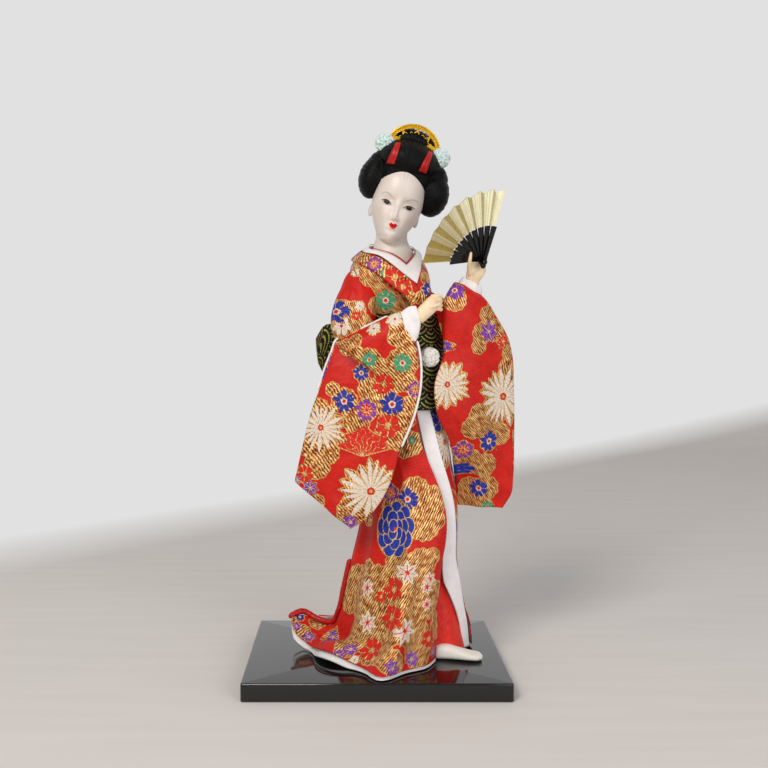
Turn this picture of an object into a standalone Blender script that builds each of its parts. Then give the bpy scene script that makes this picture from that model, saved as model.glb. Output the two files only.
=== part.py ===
"""A standing kimono doll on a lacquered board: resin head and hands, dressed hair, brocade robe,
sash tied in a bow behind, and a gilt folding fan.

Sizes are in millimetres and become metres when a mesh is made. The figure's own frame lies on the
board's top: x to the viewer's right, y away from the viewer, z up. Left and right in the names
are the doll's own, so its left arm, which holds the fan, is on the viewer's right.
"""

import math

import bmesh
import bpy
import numpy as np
from mathutils import Matrix, Vector

MM = 0.001

# Board and the two wires that the doll stands on
BOARD_WIDTH = 138.0
BOARD_DEPTH = 108.0
BOARD_THICKNESS = 9.5
BOARD_EDGE = 0.8
WIRE_RADIUS = 1.2
WIRE_SEAT = 6.5
LEG_TOP = 112.0
LEG_LEFT_X = 29.0
LEG_RIGHT_X = 12.0
LEG_Y = 2.0

# Cloth and the fit between pieces
FIT = 0.3
CLOTH = 1.0
COLLAR_CLOTH = 0.7
PIPING_RADIUS = 0.35
EDGING_RADIUS = 0.55
HEM_ROLL_RADIUS = 1.7

# Torso: the way it faces, its sash and its waist
TORSO_YAW = 20.0
OBI_BOTTOM = 134.5
OBI_TOP = 187.0
OBI_THICKNESS = 1.4
WAIST_CENTRE = (20.5, 4.0)
WAIST_HALF_WIDTH = 18.5
WAIST_HALF_DEPTH = 15.0
WAIST_HEIGHT = 138.5

# Head: eye line at the origin of its own frame
HEAD_PLACE = (12.0, -1.1, 246.5)
HEAD_ROLL = 15.0
HEAD_YAW = 2.6
HEAD_HALF_WIDTH = 14.2
HEAD_BACK = 15.5
NOSE_LENGTH = 3.2
NECK_RADIUS = 8.7

# Hair dressings, in the head's frame
COMB_RADIUS = 16.2
COMB_THICKNESS = 1.6
COMB_PLACE = (0.6, 1.5, 32.0)
COMB_RIM = 2.4
RIBBON_WIDTH = 4.2
RIBBON_SPREAD = 9.2
RIBBON_THICKNESS = 0.5
FLOWER_RADIUS = 5.4
FLOWER_SPREAD = 16.0
FLOWER_PLACE = (0.6, -1.0, 33.2)

# Hands
FINGER_RADIUS = 1.08

# Sash flower and bow
OBI_FLOWER_RADIUS = 4.9
OBI_FLOWER_PLACE = (29.5, -17.0, 163.6)
BOW_HALF_WIDTH = 46.0
BOW_HEIGHT = 30.0
BOW_PLACE_HEIGHT = 167.0
BOW_SINK = 1.6
KNOT_HALF_WIDTH = 8.0
KNOT_HALF_DEPTH = 5.0
TAIL_LENGTH = 34.0
TAIL_WIDTH = 15.0

# Fan
FAN_PIVOT = (57.8, -14.0, 216.0)
FAN_RADIUS = 40.5
FAN_FROM = 21.0
FAN_TO = 119.0
STICK_COUNT = 9
STICK_LENGTH = 20.0
STICK_TAIL = 3.6
STICK_THICKNESS = 0.35
STICK_PITCH = STICK_THICKNESS + FIT
RIVET_RADIUS = 0.6
LEAF_THICKNESS = 0.45
PLEAT_DEPTH = 2.6

LACQUER = ("black_lacquer", (0.012, 0.012, 0.013), 0.08, 0.0)
STEEL = ("steel_wire", (0.45, 0.45, 0.46), 0.35, 1.0)
PADDING = ("cotton_padding", (0.82, 0.80, 0.76), 0.95, 0.0)
RESIN = ("painted_resin", (0.86, 0.78, 0.73), 0.45, 0.0)
HAND_RESIN = ("hand_resin", (0.88, 0.72, 0.52), 0.5, 0.0)
HAIR = ("black_hair", (0.010, 0.010, 0.010), 0.55, 0.0)
GILT = ("gilt", (0.85, 0.56, 0.10), 0.3, 0.6)
RED_SATIN = ("red_satin", (0.75, 0.012, 0.008), 0.4, 0.0)
CREPE = ("pale_crepe", (0.72, 0.86, 0.84), 0.9, 0.0)
WHITE_SILK = ("white_silk", (0.85, 0.83, 0.83), 0.75, 0.0)
BROCADE = ("red_brocade", (0.72, 0.05, 0.02), 0.6, 0.1)
OBI_BROCADE = ("black_gold_brocade", (0.05, 0.045, 0.02), 0.6, 0.1)
GOLD_FOIL = ("gold_foil", (0.78, 0.66, 0.28), 0.25, 0.9)
BLACK_GLOSS = ("black_gloss", (0.008, 0.008, 0.009), 0.12, 0.0)
TABI = ("white_cotton", (0.85, 0.84, 0.80), 0.8, 0.0)


def clear_scene():
    for obj in list(bpy.data.objects):
        bpy.data.objects.remove(obj)


def collection(name):
    made = bpy.data.collections.new(name)
    bpy.context.scene.collection.children.link(made)
    return made


def frame(name, place, matrix=None, parent=None):
    """An empty at place, in millimetres, turned by a 3x3 matrix: the frame of a group of pieces."""
    empty = bpy.data.objects.new(name, None)
    turned = (matrix or Matrix.Identity(3)).to_4x4()
    empty.matrix_local = Matrix.Translation(Vector(place) * MM) @ turned
    empty.parent = parent
    DOLL.objects.link(empty)
    return empty


def material(finish):
    name, colour, roughness, metallic = finish
    made = bpy.data.materials.get(name) or bpy.data.materials.new(name)
    made.use_nodes = True
    shader = made.node_tree.nodes["Principled BSDF"]
    shader.inputs["Base Color"].default_value = (*colour, 1)
    shader.inputs["Roughness"].default_value = roughness
    shader.inputs["Metallic"].default_value = metallic
    return made


def add(name, mesh, finish, parent, smooth=True):
    """A named piece from a mesh, in its material, under the frame that it is modelled in."""
    mesh.materials.clear()
    mesh.materials.append(material(finish))
    if smooth:
        mesh.shade_smooth()
        mesh.set_sharp_from_angle(angle=math.radians(40))
    obj = bpy.data.objects.new(name, mesh)
    obj.parent = parent
    DOLL.objects.link(obj)
    bpy.context.view_layer.update()
    return obj


def modify(obj, kind, **settings):
    modifier = obj.modifiers.new(kind.title(), kind)
    for key, value in settings.items():
        setattr(modifier, key, value)
    return modifier


def evaluated_copy(obj, weld=0.000001):
    """The object's final mesh in its own frame, with its doubled points welded."""
    bpy.context.view_layer.update()
    graph = bpy.context.evaluated_depsgraph_get()
    mesh = bpy.data.meshes.new_from_object(obj.evaluated_get(graph))
    work = bmesh.new()
    work.from_mesh(mesh)
    bmesh.ops.remove_doubles(work, verts=work.verts, dist=weld)
    bmesh.ops.delete(work, geom=[e for e in work.edges if not e.link_faces], context="EDGES")
    bmesh.ops.recalc_face_normals(work, faces=work.faces)
    work.to_mesh(mesh)
    work.free()
    return mesh


def cutter(name, mesh, matrix):
    """A helper solid, which is left out of the model."""
    obj = bpy.data.objects.new(name, mesh)
    obj.matrix_world = matrix
    obj.hide_render = True
    obj.display_type = "WIRE"
    CUTTERS.objects.link(obj)
    return obj


def boolean(obj, other, operation, solver="EXACT"):
    modify(obj, "BOOLEAN", object=other, operation=operation, solver=solver)
    return obj


def clear_of(obj, *others, gap=FIT, solver="EXACT"):
    """Takes from obj the space of its neighbours, each grown by the fitting gap."""
    for other in others:
        grown = cutter(f"{obj.name}_clear_of_{other.name}", evaluated_copy(other), other.matrix_world)
        modify(grown, "DISPLACE", strength=gap * MM, mid_level=0.0)
        boolean(obj, grown, "DIFFERENCE", solver)
    return obj


def settle(obj):
    """Applies the modifiers, so that what comes later starts from the finished solid."""
    mesh = evaluated_copy(obj)
    obj.modifiers.clear()
    obj.data = mesh
    return obj


def read_at(at, keys, where):
    """Rows of keys given at the parameters at, read at where along a smooth Hermite curve."""
    at, keys = np.asarray(at, float), np.asarray(keys, float)
    slope = np.gradient(keys, at, axis=0)
    k = np.clip(np.searchsorted(at, where, side="right") - 1, 0, len(at) - 2)
    span = (at[k + 1] - at[k])[:, None]
    s = (where - at[k])[:, None] / span
    near = keys[k] * (1 + 2 * s) + slope[k] * span * s
    far = keys[k + 1] * (3 - 2 * s) + slope[k + 1] * span * (s - 1)
    return near * (1 - s) ** 2 + far * s * s


def through(points, count):
    """Stations spaced evenly along a smooth curve through the points."""
    points = np.asarray(points, float)
    steps = np.linalg.norm(np.diff(points[:, :3], axis=0), axis=1)
    chord = np.concatenate([[0], np.cumsum(steps)])
    return read_at(chord, points, np.linspace(0, chord[-1], count))


def mesh_of(name, verts, faces, closed=True):
    mesh = bpy.data.meshes.new(name)
    mesh.from_pydata((np.asarray(verts, float) * MM).tolist(), [], faces)
    if closed:
        work = bmesh.new()
        work.from_mesh(mesh)
        bmesh.ops.recalc_face_normals(work, faces=work.faces)
        work.to_mesh(mesh)
        work.free()
    return mesh


def rings(name, grid):
    """A closed mesh through rings of points, with a fan of faces at each end."""
    rows, around, _ = grid.shape
    verts = np.concatenate([grid.reshape(-1, 3), grid[:1].mean(axis=1), grid[-1:].mean(axis=1)])
    first, last = rows * around, rows * around + 1
    faces = []
    for i in range(around):
        j = (i + 1) % around
        faces += [(r * around + i, r * around + j, (r + 1) * around + j, (r + 1) * around + i)
                  for r in range(rows - 1)]
        faces += [(first, j, i), (last, (rows - 1) * around + i, (rows - 1) * around + j)]
    return mesh_of(name, verts, faces)


def oval(x, y, z, half_width, half_depth, yaw=TORSO_YAW):
    """A level oval as a key of ovals: its left point, right point and half depth."""
    c, s = math.cos(math.radians(yaw)), math.sin(math.radians(yaw))
    return (x - half_width * c, y - half_width * s, z, x + half_width * c, y + half_width * s, z, half_depth)


def ovals(keys, rows, around, wave=None, squareness=1.0):
    """Rings through keys of (left point, right point, half depth). The depth lies square to the
    line across and to the way the rings go. wave gives the shift of a whole ring's point across
    it, from its place across (-1 to 1) and along (0 to 1)."""
    keys = np.asarray(keys, float)
    middle = (keys[:, :3] + keys[:, 3:6]) / 2
    steps = np.linalg.norm(np.diff(middle, axis=0), axis=1)
    at = np.concatenate([[0], np.cumsum(steps)])
    along = np.linspace(0, 1, rows)
    row = read_at(at, keys, along * at[-1])
    centre, half = (row[:, :3] + row[:, 3:6]) / 2, (row[:, 3:6] - row[:, :3]) / 2
    normal = np.cross(half, np.gradient(centre, axis=0))
    normal /= np.linalg.norm(normal, axis=1)[:, None]
    angle = np.linspace(0, 2 * math.pi, around, endpoint=False)
    across = np.sign(np.cos(angle)) * np.abs(np.cos(angle)) ** squareness
    deep = np.sign(np.sin(angle)) * np.abs(np.sin(angle)) ** squareness
    shift = 0 if wave is None else wave(across[None, :], along[:, None])
    out = row[:, 6][:, None] * deep[None, :] + shift
    return centre[:, None] + half[:, None] * across[None, :, None] + normal[:, None] * out[:, :, None]


def sheet(name, grid, thickness, finish, parent, ring=False):
    """Cloth through a grid of points, thickened evenly to both sides."""
    rows, columns, _ = grid.shape
    wrap = columns if ring else columns - 1
    faces = [(r * columns + c, r * columns + (c + 1) % columns,
              (r + 1) * columns + (c + 1) % columns, (r + 1) * columns + c)
             for r in range(rows - 1) for c in range(wrap)]
    obj = add(name, mesh_of(name, grid.reshape(-1, 3), faces, closed=False), finish, parent)
    modify(obj, "SOLIDIFY", thickness=thickness * MM, offset=0.0)
    return obj


def patch(top, bottom, near, far, rows, columns, hug=1.0):
    """A Coons patch: the surface blended between four edge curves. Below the top the shape of the
    bottom edge comes in as the power hug of the way down, so a skirt hugs before it flares."""
    u, v = np.linspace(0, 1, columns)[None, :, None], np.linspace(0, 1, rows)[:, None, None]
    down = v**hug
    top, bottom = through(top, columns)[None], through(bottom, columns)[None]
    near, far = through(near, rows)[:, None], through(far, rows)[:, None]
    corners = (1 - down) * ((1 - u) * near[:1] + u * far[:1]) + down * ((1 - u) * near[-1:] + u * far[-1:])
    return (1 - down) * top + down * bottom + (1 - u) * near + u * far - corners


def pleated(grid, count, depth, start=0.0):
    """Moves a grid along its own normal in soft folds that deepen down the rows."""
    across = np.gradient(grid, axis=1)
    normal = np.cross(across, np.gradient(grid, axis=0))
    normal /= np.linalg.norm(normal, axis=2)[:, :, None] + 1e-9
    u, v = np.linspace(0, 1, grid.shape[1])[None, :], np.linspace(0, 1, grid.shape[0])[:, None]
    calm = np.sin(math.pi * u) * np.clip((v - start) / (1 - start), 0, 1)
    folded = grid + normal * (depth * calm * np.cos(2 * math.pi * count * u))[:, :, None]
    folded[:, :, 2] = np.maximum(folded[:, :, 2], CLOTH / 2 + 2 * FIT)
    return folded


def cord(name, points, radius, finish, parent, cyclic=False, sides=2, count=24):
    """A round cord or wire through the points."""
    curve = bpy.data.curves.new(name, "CURVE")
    curve.dimensions = "3D"
    curve.bevel_depth = radius * MM
    curve.bevel_resolution = sides
    curve.use_fill_caps = not cyclic
    spline = curve.splines.new("POLY")
    line = through(points, count) if len(points) > 2 else np.asarray(points, float)
    if cyclic:
        line = line[:-1]
    spline.points.add(len(line) - 1)
    spline.points.foreach_set("co", np.c_[line * MM, np.ones(len(line))].ravel())
    spline.use_cyclic_u = cyclic
    curve.materials.append(material(finish))
    obj = bpy.data.objects.new(name, curve)
    obj.parent = parent
    DOLL.objects.link(obj)
    bpy.context.view_layer.update()
    return obj


def as_mesh(obj):
    """Turns a curve object into a mesh object of the same name, place and material."""
    name, parent, finish = obj.name, obj.parent, obj.data.materials[0]
    mesh = evaluated_copy(obj)
    bpy.data.objects.remove(obj)
    made = bpy.data.objects.new(name, mesh)
    made.parent = parent
    if not mesh.materials:
        mesh.materials.append(finish)
    DOLL.objects.link(made)
    bpy.context.view_layer.update()
    return made


def flat_plate(name, outlines, thickness, finish, parent):
    """A plate in the x-z plane from an outline and its holes, extruded to both sides."""
    curve = bpy.data.curves.new(name, "CURVE")
    curve.dimensions = "2D"
    curve.fill_mode = "BOTH"
    curve.extrude = thickness / 2 * MM
    for outline in outlines:
        spline = curve.splines.new("POLY")
        spline.points.add(len(outline) - 1)
        flat = np.asarray(outline, float) * MM
        spline.points.foreach_set("co", np.c_[flat, np.zeros(len(flat)), np.ones(len(flat))].ravel())
        spline.use_cyclic_u = True
    curve.materials.append(material(finish))
    obj = bpy.data.objects.new(name, curve)
    obj.parent = parent
    DOLL.objects.link(obj)
    return obj


def channel(points, *pieces, solver="EXACT"):
    """Runs a clear hole for a wire along the points through each piece."""
    for piece in pieces:
        name = f"{piece.name}_channel_{len(piece.modifiers)}"
        tube = as_mesh(cord(name, points, WIRE_RADIUS + 2 * FIT, STEEL, piece.parent, sides=1, count=14))
        DOLL.objects.unlink(tube)
        tube.hide_render = True
        tube.display_type = "WIRE"
        CUTTERS.objects.link(tube)
        boolean(piece, tube, "DIFFERENCE", solver)
        settle(piece)


# Board and legs


def board():
    bpy.ops.mesh.primitive_cube_add(size=1)
    obj = bpy.context.object
    obj.name = "board"
    obj.data.transform(Matrix.Diagonal((BOARD_WIDTH * MM, BOARD_DEPTH * MM, BOARD_THICKNESS * MM, 1)))
    obj.location = (0, 0, BOARD_THICKNESS / 2 * MM)
    obj.data.materials.append(material(LACQUER))
    for scene_collection in obj.users_collection:
        scene_collection.objects.unlink(obj)
    DOLL.objects.link(obj)
    modify(obj, "BEVEL", width=BOARD_EDGE * MM, segments=1)
    for x in (LEG_LEFT_X, LEG_RIGHT_X):
        bpy.ops.mesh.primitive_cylinder_add(vertices=10, radius=(WIRE_RADIUS + FIT) * MM,
                                            depth=2 * WIRE_SEAT * MM)
        hole = bpy.context.object
        hole.location = (x * MM, LEG_Y * MM, BOARD_THICKNESS * MM)
        hole.hide_render = True
        hole.display_type = "WIRE"
        boolean(obj, hole, "DIFFERENCE")
    return obj


def leg_wire(name, x):
    points = [(x, LEG_Y, FIT - WIRE_SEAT), (x, LEG_Y, LEG_TOP - FIT)]
    return cord(name, points, WIRE_RADIUS, STEEL, FIGURE, sides=3)


# Torso


def torso_keys(off):
    """Ovals of the dressed torso from the neck ring down, grown by off."""
    shape = ((9.0, 2.5, 223.5, 10.5, 9.0), (8.4, 2.5, 221.0, 15.4, 11.0), (7.2, 2.5, 216.0, 19.8, 13.5),
             (7.8, 2.5, 208.5, 22.6, 15.5), (9.8, 2.5, 200.0, 23.4, 16.0), (12.3, 2.5, 193.0, 21.8, 16.0),
             (14.5, 2.8, 187.0, 19.6, 15.2), (16.0, 3.0, 180.0, 18.6, 14.4), (17.5, 3.2, 172.0, 18.0, 14.0))
    return [oval(x, y, z, w + off, d + off) for x, y, z, w, d in shape]


def body_core():
    """Stuffed trunk from the shoulders to the thighs, inside the robe."""
    upper = torso_keys(-CLOTH - 5 * FIT)[2:]
    lower = [oval(18.6, 3.5, 158.0, 16.4, 12.8),
             oval(*WAIST_CENTRE, WAIST_HEIGHT, WAIST_HALF_WIDTH - 2, WAIST_HALF_DEPTH - 2),
             oval(20.5, 3.6, 118.0, 15.4, 12.4), oval(20.2, 3.2, 100.0, 13.4, 11.0),
             oval(20.0, 3.0, 88.0, 9.5, 8.5)]
    return add("body_core", rings("body_core", ovals(upper + lower, 11, 16)), PADDING, FIGURE)


def neckline_cutter():
    """Wedge that opens the robe's front along the crossed collar."""
    outline = [(-3.0, 223.0), (24.0, 223.0), (21.0, 205.5)]
    curve = flat_plate("neckline", [outline], 24.0, BROCADE, FIGURE)
    curve.matrix_local = Matrix.Translation((0, -18 * MM, 0)) @ Matrix.Rotation(math.radians(90), 4, "X")
    mesh = evaluated_copy(curve)
    matrix = curve.matrix_world.copy()
    bpy.data.objects.remove(curve)
    return cutter("neckline", mesh, matrix)


def bodice(head):
    """Upper robe: an open shell over the trunk, from the neck down under the sash."""
    grid = ovals(torso_keys(0.0), 8, 16)
    obj = sheet("bodice", grid, CLOTH, BROCADE, FIGURE, ring=True)
    obj.modifiers["Solidify"].offset = -1.0 if normals_out(grid) else 1.0
    boolean(obj, neckline_cutter(), "DIFFERENCE")
    return clear_of(obj, head)


def normals_out(grid):
    """Whether a ring grid's faces, in the order that sheet makes them, point away from its middle."""
    a = grid[1, 0] - grid[0, 0]
    b = grid[0, 1] - grid[0, 0]
    return float(np.dot(np.cross(b, a), grid[0, 0] - grid[0].mean(axis=0))) > 0


OBI_OVALS = ((20.5, 4.0, OBI_BOTTOM, 23.5, 20.0), (19.5, 3.7, 150.0, 22.4, 18.8),
             (17.8, 3.3, 170.0, 21.5, 17.7), (15.6, 2.9, OBI_TOP, 21.4, 17.2))


def obi():
    """Sash: a wide band over the top of the skirt and the foot of the bodice."""
    grid = ovals([oval(*key) for key in OBI_OVALS], 4, 24)
    obj = sheet("obi", grid, OBI_THICKNESS, OBI_BROCADE, FIGURE, ring=True)
    obj.modifiers["Solidify"].offset = 1.0 if normals_out(grid) else -1.0
    return obj


# Collars


NECKLINE = ((17.1, -13.6, 213.6), (12.5, -12.6, 217.2), (8.4, -11.4, 219.6), (3.0, -9.2, 221.4),
            (-2.4, -3.0, 223.4), (-2.6, 3.5, 225.2), (2.0, 10.2, 226.6), (9.5, 12.8, 227.0),
            (17.2, 10.0, 226.0), (21.6, 3.5, 224.0), (22.4, -3.0, 221.6), (20.9, -9.4, 218.2),
            (17.1, -13.6, 213.6))
WHITE_EDGE = ((22.2, -16.4, 204.2), (16.4, -16.0, 208.6), (9.8, -14.8, 214.0), (2.6, -11.8, 219.2),
              (-5.6, -4.0, 221.8), (-5.8, 4.5, 223.8), (0.6, 12.6, 225.0), (9.5, 15.2, 225.4),
              (19.0, 12.4, 224.4), (24.8, 4.8, 222.4), (25.6, -4.0, 219.0), (24.6, -11.8, 212.0),
              (22.2, -16.4, 204.2))


def inner_collar(head):
    inner, outer = through(NECKLINE, 28)[:-1], through(WHITE_EDGE, 28)[:-1]
    grid = np.stack([inner + (outer - inner) * t for t in np.linspace(0, 1, 3)])
    obj = sheet("inner_collar", grid, COLLAR_CLOTH, WHITE_SILK, FIGURE, ring=True)
    return clear_of(obj, head)


def collar_piping(head, collar):
    lifted = np.asarray(NECKLINE) + (0, -0.15, COLLAR_CLOTH / 2 + PIPING_RADIUS + FIT)
    line = cord("collar_piping", lifted, PIPING_RADIUS, RED_SATIN, FIGURE, cyclic=True, sides=1, count=28)
    return clear_of(as_mesh(line), head, collar, gap=0.15)


def lapel(name, inner, outer, neighbours):
    """Brocade collar band between two edge curves, lying on the bodice."""
    inner, outer = through(inner, 14), through(outer, 14)
    grid = np.stack([inner + (outer - inner) * t for t in np.linspace(0, 1, 3)])
    return clear_of(sheet(name, grid, CLOTH, BROCADE, FIGURE), *neighbours)


def lapel_right(neighbours):
    inner = [(9.5, 16.6, 225.0), (0.0, 13.6, 224.6), (-6.8, 4.8, 223.2), (-6.6, -5.0, 221.0),
             (2.0, -13.2, 218.0), (9.8, -16.4, 212.6), (16.4, -17.8, 207.4), (22.6, -18.6, 202.0),
             (25.4, -18.2, 193.0)]
    outer = [(9.5, 20.2, 219.0), (-2.0, 18.0, 218.0), (-12.6, 6.0, 218.0), (-10.0, -8.0, 215.0),
             (-2.0, -15.4, 211.0), (5.0, -18.0, 205.6), (11.0, -19.2, 200.6), (16.4, -19.4, 196.0),
             (19.6, -19.0, 190.0)]
    return lapel("lapel_right", inner, outer, neighbours)


def lapel_left(neighbours):
    inner = [(9.5, 16.6, 225.0), (18.4, 13.6, 223.2), (24.4, 5.0, 220.8), (25.2, -5.0, 217.0),
             (24.8, -12.8, 210.6), (23.4, -17.0, 204.0), (20.0, -18.4, 198.0)]
    outer = [(9.5, 20.2, 219.0), (20.6, 17.6, 215.4), (28.0, 6.6, 213.0), (29.4, -5.6, 209.0),
             (29.8, -12.8, 203.0), (28.6, -17.0, 196.6), (26.4, -18.0, 190.5)]
    return lapel("lapel_left", inner, outer, neighbours)


# Head


def head_profile(z):
    """Half width, front depth and back depth of the bare head at height z over the eye line."""
    at = (-21.0, -20.2, -18.0, -14.0, -9.0, -3.0, 3.0, 10.0, 17.0, 22.5, 25.5, 26.5)
    keys = ((0.5, 10.8, -4.0), (3.2, 12.8, -2.0), (5.8, 13.6, 1.0), (8.9, 13.8, 6.0), (11.6, 13.6, 10.5),
            (13.5, 13.3, 13.8), (14.2, 13.8, 15.4), (14.0, 14.2, 15.8), (12.2, 12.6, 13.6), (8.2, 8.8, 9.2),
            (3.8, 4.0, 4.2), (0.5, 0.5, 0.5))
    return read_at(at, keys, z) * (HEAD_HALF_WIDTH / 14.2, 1.0, HEAD_BACK / 15.8)


def bump(x, z, x0, z0, wide, tall):
    return np.exp(-(((x - x0) / wide) ** 2) - ((z - z0) / tall) ** 2)


def features(x, z):
    """How far the face stands forward of the plain oval: nose, lips, chin, cheeks and eyes."""
    x = np.abs(x)
    nose = NOSE_LENGTH * bump(x, z, 0, -7.6, 1.9, 1.9) + 0.5 * NOSE_LENGTH * bump(x, z, 0, -4.2, 1.4, 3.6)
    wings = 0.9 * bump(x, z, 1.8, -8.2, 1.0, 1.0)
    lips = 1.1 * bump(x, z, 0, -12.2, 2.4, 1.5) - 0.5 * bump(x, z, 0, -14.4, 2.6, 0.8)
    chin = 0.8 * bump(x, z, 0, -18.0, 3.6, 2.4)
    sockets = -1.1 * bump(x, z, 6.0, 1.0, 3.4, 1.8)
    lids = 0.8 * bump(x, z, 6.1, -0.2, 2.6, 1.3)
    cheeks = 0.7 * bump(x, z, 7.4, -7.0, 3.8, 4.5)
    return nose + wings + lips + chin + sockets + lids + cheeks


def skull(around):
    """Rings of the bare head, closest together over the face."""
    chin, crown = (-20.9, -20.0, -18.2, -16.4), (5.0, 10.0, 15.0, 20.0, 24.0, 26.3)
    z = np.concatenate([chin, np.linspace(-14.6, 1.8, 13), crown])
    wide, front, back = head_profile(z).T
    angle = np.linspace(0, 2 * math.pi, around, endpoint=False)
    angle = angle - 0.3 * np.sin(2 * angle) * (np.sin(angle) < 0)
    x = wide[:, None] * np.cos(angle)
    y = np.where(np.sin(angle) < 0, front[:, None], back[:, None]) * np.sin(angle)
    facing = np.clip(-np.sin(angle) * 1.6 - 0.25, 0, 1)[None, :]
    y = y - features(x, z[:, None]) * facing
    return np.stack([x, y, np.broadcast_to(z[:, None], x.shape)], axis=2)


def head_part():
    """Head, ears, neck and breast plate, cast as one."""
    obj = add("head", rings("head", skull(24)), RESIN, HEAD)
    neck_keys = [oval(11.4, 1.6, 241.0, NECK_RADIUS - 0.6, NECK_RADIUS - 0.4, 0),
                 oval(9.9, 1.8, 234.0, NECK_RADIUS, NECK_RADIUS, 0),
                 oval(9.2, 1.6, 227.0, NECK_RADIUS + 0.3, NECK_RADIUS + 0.1, 0),
                 oval(9.4, 1.0, 221.0, NECK_RADIUS + 1.9, NECK_RADIUS + 0.9, 10),
                 oval(11.0, 0.0, 215.0, NECK_RADIUS + 3.6, NECK_RADIUS + 2.4, TORSO_YAW),
                 oval(13.4, -0.6, 207.0, NECK_RADIUS + 3.6, NECK_RADIUS + 2.8, TORSO_YAW),
                 oval(14.0, -0.4, 202.0, NECK_RADIUS + 2.0, NECK_RADIUS + 1.4, TORSO_YAW)]
    neck = add("neck", rings("neck", ovals(neck_keys, 7, 12)), RESIN, FIGURE)
    pieces = [neck]
    for side in (-1, 1):
        bpy.ops.mesh.primitive_uv_sphere_add(segments=8, ring_count=6, radius=MM)
        ear = bpy.context.object
        ear.parent = HEAD
        ear.data.transform(Matrix.Diagonal((1.3, 2.4, 3.6, 1)))
        turn = Matrix.Rotation(math.radians(side * -24), 4, "Z")
        ear.matrix_local = Matrix.Translation(Vector((side * 13.0, 2.6, -4.2)) * MM) @ turn
        pieces.append(ear)
    for piece in pieces:
        bpy.context.view_layer.update()
        boolean(obj, cutter(f"head_with_{piece.name}", evaluated_copy(piece), piece.matrix_world), "UNION")
        bpy.data.objects.remove(piece)
    return settle(obj)


def reach(direction, centre, radii):
    """How far a ray from the origin runs before it leaves an ellipsoid, or 0 where it misses."""
    scaled, offset = direction / radii, -np.asarray(centre) / radii
    a = (scaled**2).sum(axis=-1)
    b = (scaled * offset).sum(axis=-1)
    c = (offset**2).sum() - 1
    inside = b * b - a * c
    far = (-b + np.sqrt(np.maximum(inside, 0))) / a
    return np.where(inside > 0, np.maximum(far, 0), 0)


HAIR_CENTRE = np.array((0.0, 2.0, 8.0))
HAIR_MASSES = (((0.0, 1.0, 10.0), (16.5, 15.5, 19.0)), ((-16.8, 0.5, 5.0), (8.0, 10.0, 11.6)),
               ((18.4, 0.5, 4.4), (9.0, 10.0, 12.2)), ((0.0, -4.5, 17.5), (15.0, 12.6, 9.6)),
               ((0.0, 11.0, -5.0), (12.5, 10.5, 13.0)), ((1.6, 2.0, 16.0), (20.0, 11.0, 11.0)),
               ((0.0, 7.0, 4.0), (18.0, 12.0, 13.0)))
FACE_OPENING = ((0.0, -2.0), (13.9, 20.4))


def hair_surface(direction):
    """Blend of the hair's rounded masses seen from the middle of the head, drawn in over the face."""
    power = 8.0
    total = sum(reach(direction, centre, radii) ** power for centre, radii in HAIR_MASSES)
    far = total ** (1 / power)
    x, y, z = np.moveaxis(direction * far[..., None] + HAIR_CENTRE, -1, 0)
    (x0, z0), (wide, tall) = FACE_OPENING
    arch = np.where(z > z0, ((x - x0) / wide) ** 2 + ((z - z0) / tall) ** 2 - 1, np.abs(x - x0) / wide - 1)
    keep = 1 / (1 + np.exp(-36.0 * arch))
    return far * np.where(y < 0, 0.45 + 0.55 * keep, 1.0)


def wig(head):
    """Dressed hair: swept-up front, side wings and nape roll round the face, hollow for the head."""
    bpy.ops.mesh.primitive_uv_sphere_add(segments=28, ring_count=18, radius=1)
    obj = bpy.context.object
    co = np.zeros(len(obj.data.vertices) * 3)
    obj.data.vertices.foreach_get("co", co)
    direction = co.reshape(-1, 3)[:, [0, 2, 1]] * (1, -1, 1)
    direction /= np.linalg.norm(direction, axis=1)[:, None]
    place = direction * hair_surface(direction)[:, None] + HAIR_CENTRE
    obj.data.vertices.foreach_set("co", (place * MM).ravel())
    mesh = obj.data.copy()
    bpy.data.objects.remove(obj)
    made = add("wig", mesh, HAIR, HEAD)
    work = bmesh.new()
    work.from_mesh(mesh)
    bmesh.ops.recalc_face_normals(work, faces=work.faces)
    work.to_mesh(mesh)
    work.free()
    return settle(clear_of(made, head))


def chignon(wig_piece):
    """The knot of hair on the crown, behind the comb."""
    keys = [(-4.0, 3.6, 34.0, 4.0, 3.6, 34.0, 4.0), (-9.5, 4.6, 36.5, 9.5, 4.6, 36.5, 8.2),
            (-11.0, 9.0, 37.0, 11.0, 9.0, 37.0, 8.4), (-8.5, 14.0, 34.0, 8.5, 14.0, 34.0, 7.0),
            (-3.0, 17.5, 29.0, 3.0, 17.5, 29.0, 3.0)]
    return clear_of(add("chignon", rings("chignon", ovals(keys, 7, 12)), HAIR, HEAD), wig_piece)


def arc(radius, start, end, count, centre=(0, 0)):
    angle = np.radians(np.linspace(start, end, count))
    return [(centre[0] + radius * math.cos(a), centre[1] + radius * math.sin(a)) for a in angle]


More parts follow.
